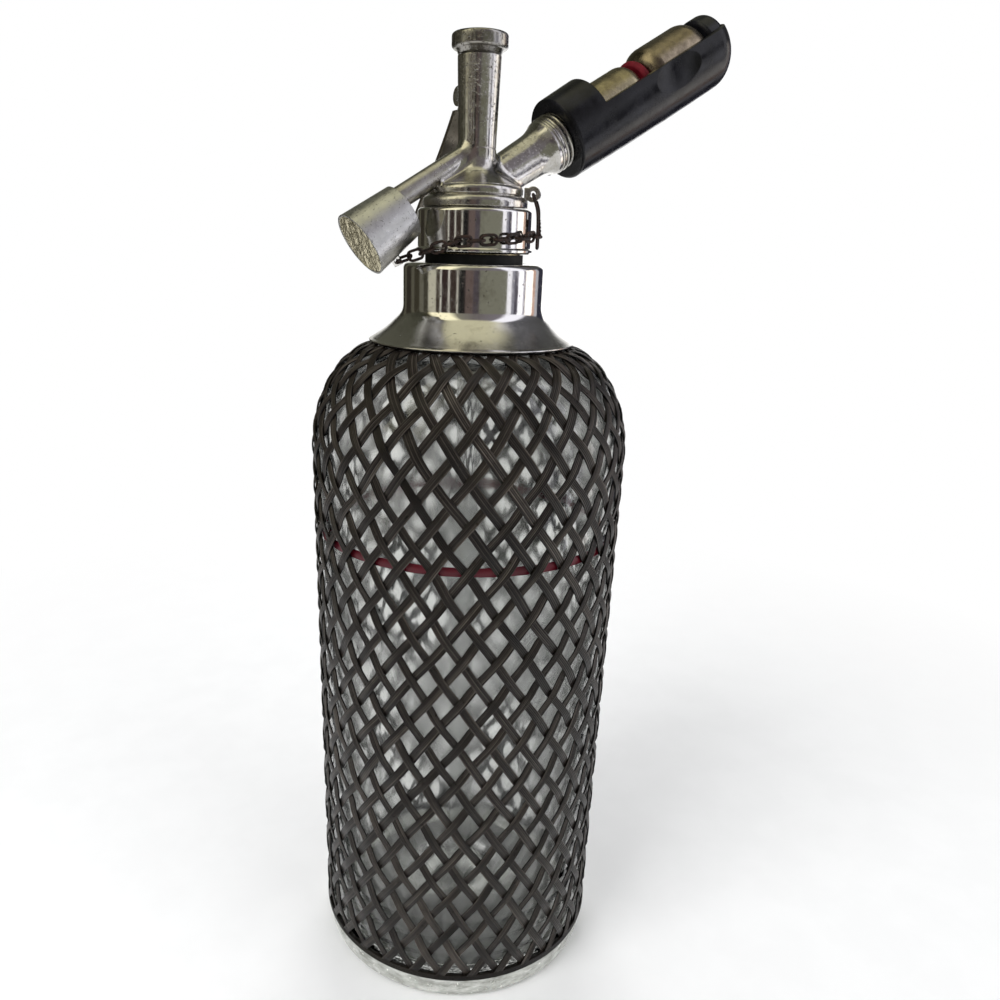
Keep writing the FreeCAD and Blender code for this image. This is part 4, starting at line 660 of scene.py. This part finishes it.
def net_family(name, hand):
    """The ribbons that lean one way, passing over and under the others in turn."""
    runs, rows = net_rows()
    section = ribbon_section()
    spacing = FULL_TURN / STRANDS
    wire_radius = RIBBON_WIDTH / WIRES / 2
    chance = np.random.default_rng(7 + hand)
    vertices, faces, crest_lights, wire_highlights = [], [], [], []
    for strand in range(STRANDS):
        faces += shifted(tube_faces(len(runs), len(section)), len(vertices))
        wander = chance.normal(0, 0.004, 4)
        fullness = 1 + chance.normal(0, 0.03)
        # each wire's random share of the pale painted highlight
        highlight_shares = np.clip(chance.normal(0.3, 0.45, WIRES), 0, 1)
        for number, (run, row) in enumerate(zip(runs, rows)):
            rise = NET_MIDDLE + hand * WEAVE_RISE * math.cos(FULL_TURN * row)
            radius, height, out, up = on_glass(run, rise)
            here, there = max(number - 1, 0), min(number + 1, len(runs) - 1)
            slope = radius * spacing * (rows[there] - rows[here]) / (runs[there] - runs[here])
            narrow = min(1.0, radius / BODY_RADIUS + 0.25) * fullness
            half = RIBBON_WIDTH * narrow * math.hypot(1, slope) / 2 / radius
            lean = math.radians(NET_START + NET_DRIFT * row - NET_SETTLE * row ** 2)
            sway = sum(w * math.sin((k + 1) * row * 0.9 + strand) for k, w in enumerate(wander))
            middle = lean + spacing * strand + hand * spacing * row + sway
            for across, lift, wire in section:
                depth = lift * wire_radius
                angle = middle + across * half
                vertices.append(polar(radius + depth * out, angle, height + depth * up))
                # crest height: 0 in the grooves and under the ribbon, where the wire material paints shade;
                # tint: each wire's share of painted highlight
                crest_lights.append(max(lift, 0.0))
                wire_highlights.append(highlight_shares[wire])
    return carry(new_piece(name, vertices, faces, "bottle", "net_wire"), crest=crest_lights, tint=wire_highlights)


def bottom_hoop():
    """The hoop of wound wire that the net stands on."""
    turns, inside = 4, BODY_RADIUS + 0.25
    low, high = FOOT_TOP + 0.05, HOOP_TOP + 0.15
    radius = (high - low) / turns / 2
    profile = [(inside, low)]
    for turn in range(turns):
        centre = low + radius * (2 * turn + 1)
        profile += arc((HOOP_RADIUS - radius, centre), radius, -QUARTER, QUARTER, 6)
    profile += [(inside, high)]
    hoop = carry(lathe("net_hoop", profile, "bottle", "net_wire"), **HOOP_WIRE)
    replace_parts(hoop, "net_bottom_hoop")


def top_hoop():
    """The flat hoop under the skirt of the collar."""
    width = 2.0
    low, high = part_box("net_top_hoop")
    thick = (high.z - low.z) / MM / 2
    centre = low.z / MM + thick
    profile = arc((TOP_HOOP_RADIUS - thick, centre), thick, -QUARTER, QUARTER, 10)
    profile += arc((TOP_HOOP_RADIUS - width + thick, centre), thick, QUARTER, 3 * QUARTER, 10)
    hoop = carry(lathe("net_upper_hoop", profile, "bottle", "net_wire"), **HOOP_WIRE)
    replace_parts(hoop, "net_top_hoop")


def net():
    """The woven net and the wound hoops it ends on."""
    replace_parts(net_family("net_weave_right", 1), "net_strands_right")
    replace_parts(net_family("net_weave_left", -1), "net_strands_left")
    bottom_hoop()
    top_hoop()


# ---- chain and wire
LINK_PITCH = 3.85
LINK_LENGTH = 5.6
LINK_WIDTH = 3.9
LINK_WIRE = 0.85
LINK_LEAN = 12.0
CHAIN_PLAY = 0.3
CHAIN_RADIUS = NUT_RADIUS + CHAIN_PLAY + LINK_WIDTH / 2
CHAIN_MEET = -137.0
CHAIN_LOW, CHAIN_HIGH = 3.0, 5.3
WIRE_RADIUS = 0.4
WIRE_SPREAD = 1.0
WIRE_SAG, WIRE_TIP = 1.6, 8.0

# the dust cap along its axis, as it is in the part
CAP_BACK, CAP_FACE = 29.9, 46.2
CAP_RADIUS, CAP_TAPER = 7.9, 1.65
EYE_PLACE, EYE_RISE = 9.3, 2.6


def eye_place():
    """The middle of the chain's eye under the dust cap, and the way straight out."""
    out = CAP_RADIUS + CAP_TAPER * EYE_PLACE / (CAP_FACE - CAP_BACK)
    axis = sloping(OUTLET)
    middle = axis @ Vector((-(out + EYE_RISE / 2), 0, CAP_BACK + EYE_PLACE))
    return middle, (axis.to_3x3() @ Vector((-1, 0, 0))).normalized()


def chain_route():
    """The line of the chain: from the cap's eye to the nut, then round its front up to the wire."""
    first = math.radians(CHAIN_MEET)
    last = math.radians(LUG_ANGLE) - WIRE_SPREAD / CHAIN_RADIUS
    points = [eye_place()[0]]
    for share in shares(60):
        angle = first + (last - first) * share
        height = NUT_FOOT + CHAIN_LOW + (CHAIN_HIGH - CHAIN_LOW) * share
        points.append(Vector(polar(CHAIN_RADIUS, angle, height)))
    return points


def walk(points, distance):
    """The point at a distance along a line of points, and the direction there."""
    for here, there in zip(points, points[1:]):
        step = there - here
        if distance <= step.length:
            return here + step * (distance / step.length), step.normalized()
        distance -= step.length
    return points[-1], step.normalized()


def link_line(centre, along, across):
    """The centre line of one oval link, pinched a little across its middle."""
    half = LINK_WIDTH / 2 - LINK_WIRE / 2
    reach = LINK_LENGTH / 2 - LINK_WIDTH / 2
    steps = 28
    line = []
    for step in range(steps):
        angle = FULL_TURN * step / steps
        shift = reach if math.cos(angle) > 0 else -reach
        pinch = 1 - 0.1 * abs(math.sin(angle)) ** 4
        middle = centre + along * (shift + half * math.cos(angle))
        line.append(middle + across * half * math.sin(angle) * pinch)
    return line


def wire_mesh(lines, radius, closed, around=10):
    """Round wire along each line of points."""
    vertices, faces = [], []
    for line in lines:
        count = len(line)
        faces += shifted(tube_faces(count, around, closed), len(vertices))
        guide = Vector((0.3, 0.2, 0.93))
        for number, point in enumerate(line):
            before = line[number - 1] if closed or number else line[0]
            after = line[(number + 1) % count] if closed or number < count - 1 else line[-1]
            along = (after - before).normalized()
            guide = (guide - along * guide.dot(along)).normalized()
            other = along.cross(guide)
            for step in range(around):
                angle = FULL_TURN * step / around
                vertices.append(tuple(point + (guide * math.cos(angle) + other * math.sin(angle)) * radius))
    return vertices, faces


def smooth_line(points, steps=8):
    """A smooth curve through the points."""
    line = []
    ends = [points[0]] + list(points) + [points[-1]]
    for a, b, c, d in zip(ends, ends[1:], ends[2:], ends[3:]):
        for step in range(steps):
            t = step / steps
            line.append(((b * 2) + (c - a) * t + (a * 2 - b * 5 + c * 4 - d) * t ** 2
                         + (b * 3 - a - c * 3 + d) * t ** 3) * 0.5)
    line.append(points[-1])
    return line


def chain():
    """The tether of oval links, each a quarter turn from the last."""
    route = chain_route()
    total = sum((there - here).length for here, there in zip(route, route[1:]))
    half = LINK_LENGTH / 2 - LINK_WIRE / 2
    overhang = half - LINK_WIRE / 2 - 1.5 * WIRE_RADIUS
    reach = total - half - overhang
    steps = 2 * math.ceil(reach / LINK_PITCH / 2)
    bar = walk(route, half)[1].cross(eye_place()[1]).normalized()
    easing = 4
    chance = np.random.default_rng(3)
    links = []
    for number in range(steps + 1):
        middle, along = walk(route, half + reach * number / steps)
        outward = Vector((middle.x, middle.y, 0)).normalized()
        side = outward.cross(along).normalized()
        out = along.cross(side).normalized()
        on_edge = LINK_LEAN - 90
        if number == 0:
            twist = math.degrees(math.atan2(bar.dot(out), bar.dot(side))) - on_edge
        turn = on_edge if number % 2 == 0 else on_edge + 90
        turn += twist * max(0, 1 - number / easing) + chance.normal(0, 3)
        angle = math.radians(turn)
        links.append(link_line(middle, along, side * math.cos(angle) + out * math.sin(angle)))
    vertices, faces = wire_mesh(links, LINK_WIRE / 2, closed=True)
    piece = new_piece("tether_links", vertices, faces, None, "chain_iron")
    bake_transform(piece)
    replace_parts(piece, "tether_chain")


def chain_wire():
    """The iron wire from the lug down through the last link and up to its twisted end."""
    lug_out, lug_high = LOWER_BEAD + 0.8 * LUG_RADIUS, BEAD_STEP + LUG_RISE
    beside = LUG_PLATE / 2 + 2 * WIRE_RADIUS
    thick, spread, out = WIRE_RADIUS, WIRE_SPREAD, CHAIN_RADIUS
    sag, tip = NUT_FOOT + WIRE_SAG, NUT_FOOT + WIRE_TIP
    over, past = lug_high - 2 * thick, lug_out + thick
    up = [(spread, out, tip), (beside, out - CHAIN_PLAY, NUT_TOP), (beside, past, over),
          (beside / 2, lug_out, lug_high)]
    down = [(spread, out, sag + spread), (spread / 2, out, sag + spread / 4)]
    mirrored = [(-across, reach, height) for across, reach, height in up[::-1] + down]
    path = up + mirrored + down[::-1] + [(spread, out, tip - 5 * thick)]
    turn = Matrix.Rotation(math.radians(LUG_ANGLE), 3, "Z")
    loop = smooth_line([turn @ Vector((reach, across, height)) for across, reach, height in path])
    twist_foot, twist_length, twists = tip - 2.4, 4.2, 2
    ends = []
    for phase in (0, math.pi):
        line = []
        for share in shares(24):
            angle = phase + share * twists * FULL_TURN
            swing = thick * 0.95 * (1 - 0.5 * share)
            line.append(turn @ Vector((out + swing * math.cos(angle) + thick / 2,
                                       spread * (1 - share) + swing * math.sin(angle),
                                       twist_foot + share * twist_length)))
        ends.append(line)
    vertices, faces = wire_mesh([loop], thick * 0.92, closed=False)
    more, extra = wire_mesh(ends, thick * 0.8, closed=False)
    faces += shifted(extra, len(vertices))
    piece = new_piece("wire_loop", vertices + more, faces, "head", "chain_iron")
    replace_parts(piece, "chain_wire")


def valve_spring():
    """The spring under the post cap, drawn at one length though the real one shortens as the valve rises."""
    radius, wire, turns, lift = 2.5, 0.4, 5.0, 1.45
    line = []
    for share in shares(240):
        angle = FULL_TURN * turns * share
        height = SPRING_LOW + wire + (SPRING_HIGH - SPRING_LOW - 2 * wire) * share
        line.append(Vector(polar(radius, angle, height)))
    vertices, faces = wire_mesh([line], wire, closed=False)
    piece = new_piece("spring_coil", vertices, faces, "head", "steel")
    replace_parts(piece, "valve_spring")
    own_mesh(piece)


# ---- spigot thread
def spigot_thread():
    """The thread that shows between the spigot's bell and the bulb holder."""
    first, last, pitch = 27.3, 40.6, 1.75
    root, crest, sunk = 8.0, 8.5, 0.1
    flank, flat = 0.5 * pitch, 0.13 * pitch
    around = 96
    axis = sloping(SPIGOT)
    steps = int((last - first) / pitch * around)
    vertices = []
    for step in range(steps + 1):
        angle = FULL_TURN * step / around
        middle = first + pitch * step / around
        fade = min(1.0, step / around, (steps - step) / around)
        top = root + (crest - root) * fade
        for out, along in ((root - sunk, -flank), (top, -flat), (top, flat), (root - sunk, flank)):
            vertices.append(tuple(axis @ Vector(polar(out, angle, middle + along))))
    new_piece("spigot_thread", vertices, tube_faces(steps + 1, 4), "head", "casting")


# ---- soft corners of the casting
FLARE_CURVE = ((13.12, 0.0), (6.5, 3.52), (5.69, 4.7), (5.695, 10.2))
SPOUT_RADIUS, SPOUT_START = 3.15, 1.6
SPIGOT_START, SPIGOT_TAPER = 4.75, ((10.8, 21.6), (6.1, 6.5))
FILLET = 1.8
SPOUT_ROOM = ((-14, -8, 268), (-1, 8, 288))
SPIGOT_ROOM = ((1, -17, 262), (21, 17, 284))


def casting_profile():
    """The turned middle of the head as a closed outline of (radius, height)."""
    within, small = -1.0, 0.5
    outline = [(within, HEAD_FOOT), (HEAD_BORE, HEAD_FOOT), (HEAD_BORE, HEAD_BASE)]
    beads = ((LOWER_BEAD, HEAD_BASE, BEAD_STEP, 1.7), (UPPER_BEAD, BEAD_STEP, BEADS_TOP, 1.4))
    for radius, low, high, large in beads:
        outline += arc((radius - small, low + small), small, -QUARTER, 0, 5)
        outline += arc((radius - large, high - large), large, 0, QUARTER, 12)
    outline += flare_points()
    outline += [(POST_RADIUS, POST_TOP), (POST_SPIGOT, POST_TOP), (POST_SPIGOT, POST_TOP + SPIGOT_RISE),
                (within, POST_TOP + SPIGOT_RISE)]
    return outline


def flare_points():
    """The soft sweep from the upper bead to the post, a hair outside the casting."""
    points = []
    for s in shares(36):
        parts = ((1 - s) ** 3, 3 * (1 - s) ** 2 * s, 3 * (1 - s) * s ** 2, s ** 3)
        radius, rise = (sum(p * value for p, value in zip(parts, side)) for side in zip(*FLARE_CURVE))
        points.append((radius, BEADS_TOP + rise))
    return points


def head_flare():
    """The flare under the post, as one soft sweep over a hidden inside."""
    hidden = ((5.5, 10.4), (4.6, 10.2), (4.6, 5.0), (11.8, -0.3))
    profile = flare_points() + [(radius, BEADS_TOP + rise) for radius, rise in hidden]
    lathe("head_flare", profile, "head", "casting")


def outline_distance(outline, points):
    """Signed distance of (radius, height) points from a closed outline, negative inside."""
    corners = np.array(outline)
    nearest = np.full(len(points), 1e9)
    inside = np.zeros(len(points), bool)
    for a, b in zip(corners, np.roll(corners, -1, axis=0)):
        edge = b - a
        share = np.clip(((points - a) @ edge) / max(edge @ edge, 1e-12), 0, 1)
        nearest = np.minimum(nearest, np.linalg.norm(points - a - share[:, None] * edge, axis=1))
        crosses = (a[1] > points[:, 1]) != (b[1] > points[:, 1])
        if abs(edge[1]) > 1e-12:
            at = a[0] + (points[:, 1] - a[1]) / edge[1] * edge[0]
            inside ^= crosses & (points[:, 0] < at)
    return np.where(inside, -nearest, nearest)


def axis_coordinates(place, points):
    """Distance from a sloping axis, and distance along it."""
    height, above = place
    angle = math.radians(above)
    out = np.array([math.cos(angle), 0, math.sin(angle)])
    shifted = points - np.array([0, 0, height])
    along = shifted @ out
    return np.linalg.norm(shifted - along[:, None] * out, axis=1), along


def casting_parts(points):
    """Signed distances from the turned middle, the spout tube and the spigot."""
    turned = np.stack([np.hypot(points[:, 0], points[:, 1]), points[:, 2]], axis=1)
    core = outline_distance(casting_profile(), turned)
    radius, along = axis_coordinates(SPOUT, points)
    spout = np.maximum(radius - SPOUT_RADIUS, SPOUT_START - along)
    radius, along = axis_coordinates(SPIGOT, points)
    spigot = np.maximum(radius - np.interp(along, *SPIGOT_TAPER), SPIGOT_START - along)
    return core, spout, spigot


def round_join(first, second, radius):
    """The union of two distances with a round fillet in the corner."""
    corner = np.hypot(np.maximum(radius - first, 0), np.maximum(radius - second, 0))
    return np.maximum(radius, np.minimum(first, second)) - corner


def casting_field(points):
    """Signed distance from the casting, with its fillets."""
    core, spout, spigot = casting_parts(points)
    return round_join(round_join(core, spout, FILLET), spigot, FILLET)


def zero_surface(field, low, high, step):
    """Points and quads near the zero surface of a field, one point in each crossed cell."""
    axes = [np.arange(a, b + step, step) for a, b in zip(low, high)]
    shape = tuple(len(axis) for axis in axes)
    grid = np.stack(np.meshgrid(*axes, indexing="ij"), axis=-1).reshape(-1, 3)
    inside = (field(grid) < 0).reshape(shape)
    cells = np.zeros(tuple(n - 1 for n in shape), int)
    for corner in np.ndindex(2, 2, 2):
        cells += inside[tuple(slice(c, n - 1 + c) for c, n in zip(corner, shape))]
    crossed = (cells > 0) & (cells < 8)
    number = np.full(crossed.shape, -1)
    number[crossed] = np.arange(crossed.sum())
    points = np.stack([axes[k][index] + step / 2 for k, index in enumerate(np.nonzero(crossed))], axis=1)
    quads = []
    for axis in range(3):
        first = [slice(1, -1)] * 3
        second = list(first)
        first[axis], second[axis] = slice(0, -1), slice(1, None)
        here, there = inside[tuple(first)], inside[tuple(second)]
        others = [k for k in range(3) if k != axis]
        for entering in (True, False):
            edges = np.argwhere(here & ~there if entering else ~here & there)
            ring = []
            for corner in ((0, 0), (1, 0), (1, 1), (0, 1)):
                cell = edges.copy()
                cell[:, others] += corner
                ring.append(number[tuple(cell.T)])
            quad = np.stack(ring, axis=1)
            quads.append(quad if entering == (axis != 1) else quad[:, ::-1])
    return points, np.concatenate(quads)


def slope_of(field, points, reach=0.02):
    """The field's gradient, by central differences."""
    parts = [(field(points + shift) - field(points - shift)) / (2 * reach) for shift in np.eye(3) * reach]
    return np.stack(parts, axis=1)


def casting_fillets():
    """The soft inside corners where the spout and the spigot leave the head."""
    cell, settling = 0.4, 6
    border, dip, lift = 0.22, 0.05, 0.03
    vertices, faces, normals = [], [], []
    for low, high in (SPOUT_ROOM, SPIGOT_ROOM):
        points, quads = zero_surface(casting_field, low, high, cell)
        for repeat in range(settling):
            slope = slope_of(casting_field, points)
            size = np.maximum((slope ** 2).sum(axis=1), 0.05)
            points = points - slope * (casting_field(points) / size)[:, None]
        core, spout, spigot = casting_parts(points)
        joint = np.minimum(np.maximum(core, spout), np.maximum(np.minimum(core, spout), spigot))
        away = joint - FILLET
        quads = quads[(away[quads] < border).all(axis=1)]
        used, quads = np.unique(quads, return_inverse=True)
        points, away = points[used], away[used]
        slope = slope_of(casting_field, points)
        normal = slope / np.linalg.norm(slope, axis=1)[:, None]
        share = np.clip(away / border, -1, 1)
        raised = np.where(share < 0, lift * np.minimum(1, -share * 2), -dip * share)
        points = points + normal * raised[:, None]
        faces += shifted(quads.reshape(-1, 4), len(vertices))
        vertices += points.tolist()
        normals += normal.tolist()
    piece = new_piece("head_fillets", vertices, faces, "head", "casting")
    piece.data.normals_split_custom_set_from_vertices(normals)


# ---- studio
WALLS = [
    (-180, (0.9, 0.9, 0.85)), (-165, (0.03, 0.028, 0.02)), (-150, (0.1, 0.095, 0.07)),
    (-140, (0.035, 0.03, 0.022)), (-122, (0.12, 0.115, 0.085)), (-112, (0.05, 0.045, 0.03)),
    (-98, (0.16, 0.155, 0.12)), (-88, (0.06, 0.055, 0.04)), (-78, (0.62, 0.6, 0.48)),
    (-63, (0.07, 0.055, 0.045)), (-56, (0.75, 0.74, 0.66)), (-53, (0.045, 0.03, 0.028)),
    (-42, (0.8, 0.78, 0.7)), (-39, (0.05, 0.035, 0.03)), (-27, (0.7, 0.68, 0.6)),
    (-24, (0.012, 0.012, 0.012)), (-14, (0.16, 0.12, 0.11)), (0, (0.1, 0.085, 0.1)), (9, (0.24, 0.24, 0.19)),
    (55, (1.3, 1.3, 1.4)), (64, (0.35, 0.35, 0.42)), (70, (0.1, 0.09, 0.12)), (76, (1.8, 1.8, 1.95)),
    (88, (0.5, 0.48, 0.55)), (94, (2.2, 2.1, 2.0)), (112, (0.75, 0.5, 0.4)), (120, (0.6, 0.6, 0.66)),
    (130, (0.04, 0.04, 0.06)), (155, (1.6, 1.6, 1.6)),
]
UPPER = [
    (-180, (0.12, 0.12, 0.09)), (-95, (0.05, 0.05, 0.035)), (-82, (0.06, 0.055, 0.035)),
    (-74, (1.5, 1.42, 1.0)), (-40, (1.5, 1.42, 1.0)), (-27, (0.3, 0.29, 0.23)), (5, (0.2, 0.18, 0.18)),
    (50, (0.26, 0.24, 0.27)), (60, (1.4, 1.4, 1.55)), (92, (1.4, 1.4, 1.55)), (102, (0.15, 0.15, 0.17)),
    (150, (0.08, 0.08, 0.08)), (176, (0.12, 0.12, 0.09)),
]
CEILING = (0.75, 0.72, 0.5)
WHITE = (1, 1, 1)
FACING = -120.0
WALL_TOP = (0.24, 0.36)
CEILING_EDGE = (0.86, 0.97)


def bands(sky, stops, turn, interpolation):
    """Colours round the room, from a list of (degrees, colour)."""
    ramp = sky.node("ValToRGB")
    ramp.color_ramp.interpolation = interpolation
    elements = ramp.color_ramp.elements
    while len(elements) < len(stops):
        elements.new(0.5)
    for element, (degrees, colour) in zip(elements, stops):
        element.position = (degrees + 180) / 360
        element.color = (*colour, 1)
    sky.feed(ramp.inputs[0], turn)
    return ramp.outputs[0]


def mirrored_room(sky):
    """A room for metal to mirror: panes and frames, softer bands above, and a ceiling."""
    across, along, up = (sky.coordinate("Generated", axis) for axis in "XYZ")
    azimuth = sky.combine("ARCTAN2", along, across)
    turn = sky.combine("DIVIDE", sky.combine("SUBTRACT", azimuth, math.radians(FACING)), FULL_TURN)
    turn = sky.combine("FRACT", sky.combine("ADD", turn, 0.5))
    walls = bands(sky, WALLS, turn, "CONSTANT")
    upper = bands(sky, UPPER, turn, "LINEAR")
    above = sky.range(up, *WALL_TOP, interpolation_type="SMOOTHSTEP")
    overhead = sky.range(up, *CEILING_EDGE, interpolation_type="SMOOTHSTEP")
    return sky.mix(overhead, sky.mix(above, walls, upper), CEILING)


def world():
    """White for the eye and for glass, the room for metal, and soft light for the rest."""
    made = bpy.data.worlds.new("studio")
    bpy.context.scene.world = made
    made.use_nodes = True
    sky = Nodes(made.node_tree)
    soft = sky.add("Background", {"Color": (0.97, 0.98, 1.0), "Strength": 0.5})
    white = sky.add("Background", {"Color": WHITE})
    room = sky.add("Background", {"Color": mirrored_room(sky)})
    path = sky.node("LightPath").outputs
    seen = sky.combine("MAXIMUM", path["Is Camera Ray"], path["Is Transmission Ray"])
    light = sky.mix_shaders(seen, sky.mix_shaders(path["Is Glossy Ray"], soft, room), white)
    sky.feed(sky.tree.nodes["World Output"].inputs["Surface"], light)


def flat_sheet(name, inner, outer, material):
    """A flat ring or disc of the floor, just below the foot."""
    steps, drop = 64, 0.0002
    angles = [FULL_TURN * step / steps for step in range(steps)]
    vertices = [polar(radius, angle) for radius in (inner, outer) if radius for angle in angles]
    faces = tube_faces(2, steps)[:steps] if inner else [tuple(range(steps))]
    mesh = bpy.data.meshes.new(name)
    mesh.from_pydata(vertices, [], faces)
    sheet = bpy.data.objects.new(name, mesh)
    sheet.location.z = -drop
    mesh.materials.append(material)
    bpy.context.scene.collection.objects.link(sheet)
    return sheet


def floor():
    """A pale floor that keeps the bottle's shadow and fades into white."""
    near, far, end = 0.22, 0.5, 6.0
    pale, worn, matt = (0.945, 0.945, 0.94), (0.93, 0.93, 0.925), 0.8
    m = Material("floor", pale, matt)
    m.mottle(40, 0.4, 0.6, pale, worn)
    distance = m.add("VectorMath", {0: m.place["Object"]}, "Value", operation="LENGTH")
    light = m.add("Emission", {"Color": WHITE})
    m.feed(m.surface, m.mix_shaders(m.range(distance, near, far), m.shader.outputs[0], light))
    flat_sheet("floor", 0, far, m.material)
    m = Material("floor_far", pale, matt)
    m.feed(m.surface, m.add("Emission", {"Color": WHITE}))
    ring = flat_sheet("floor_far", far, end, m.material)
    ring.visible_glossy = False
    ring.visible_diffuse = False
    ring.visible_shadow = False


def lamps():
    """Large soft lamps for shade and shadow, which metal doesn't mirror."""
    aim = Vector((0, 0, 0.17))
    tall = 1.4
    for name, azimuth, height, distance, width, power in (
        ("key", -75, 0.8, 0.9, 0.6, 8.0),
        ("fill", 25, 0.45, 1.0, 0.8, 4.5),
        ("back", 150, 0.8, 0.9, 0.6, 5.0),
    ):
        lamp = bpy.data.lights.new(name, "AREA")
        lamp.shape = "RECTANGLE"
        lamp.size = width
        lamp.size_y = width * tall
        lamp.energy = power
        stand = bpy.data.objects.new(name, lamp)
        angle = math.radians(azimuth)
        stand.location = (distance * math.sin(angle), -distance * math.cos(angle), height)
        stand.rotation_euler = (aim - stand.location).to_track_quat("-Z", "Y").to_euler()
        stand.visible_glossy = False
        stand.visible_transmission = False
        bpy.context.scene.collection.objects.link(stand)


# ---- camera
FOCAL_PIXELS, FRAME_PIXELS, AXIS_PIXEL = 836.9, 1000, (460, 560)
SENSOR = 36


def camera():
    """The camera where the photograph was taken from."""
    azimuth, pitch, roll = (math.radians(angle) for angle in (-30.0, 90 - 20.70, 1.55))
    reach, height, aside = 276.2, 253.5, -1.79
    ahead = Vector((-math.sin(azimuth), math.cos(azimuth), 0))
    right = Vector((math.cos(azimuth), math.sin(azimuth), 0))
    data = bpy.data.cameras.new("camera")
    data.sensor_width = SENSOR
    data.lens = SENSOR * FOCAL_PIXELS / FRAME_PIXELS
    data.shift_x = (FRAME_PIXELS / 2 - AXIS_PIXEL[0]) / FRAME_PIXELS
    data.shift_y = (AXIS_PIXEL[1] - FRAME_PIXELS / 2) / FRAME_PIXELS
    view = bpy.data.objects.new("camera", data)
    view.location = (-ahead * reach + right * aside + Vector((0, 0, height))) * MM
    level = Matrix.Rotation(azimuth, 4, "Z") @ Matrix.Rotation(pitch, 4, "X")
    view.rotation_euler = (level @ Matrix.Rotation(roll, 4, "Z")).to_euler()
    bpy.context.scene.collection.objects.link(view)
    bpy.context.scene.camera = view


def main():
    for step in (dress_nodes, bottle, fill_line, collar, cap_of_post, net, chain, chain_wire, valve_spring,
                 spigot_thread, head_flare, casting_fillets, world, floor, lamps, camera):
        step()
    bpy.context.scene.view_settings.view_transform = "Standard"


main()
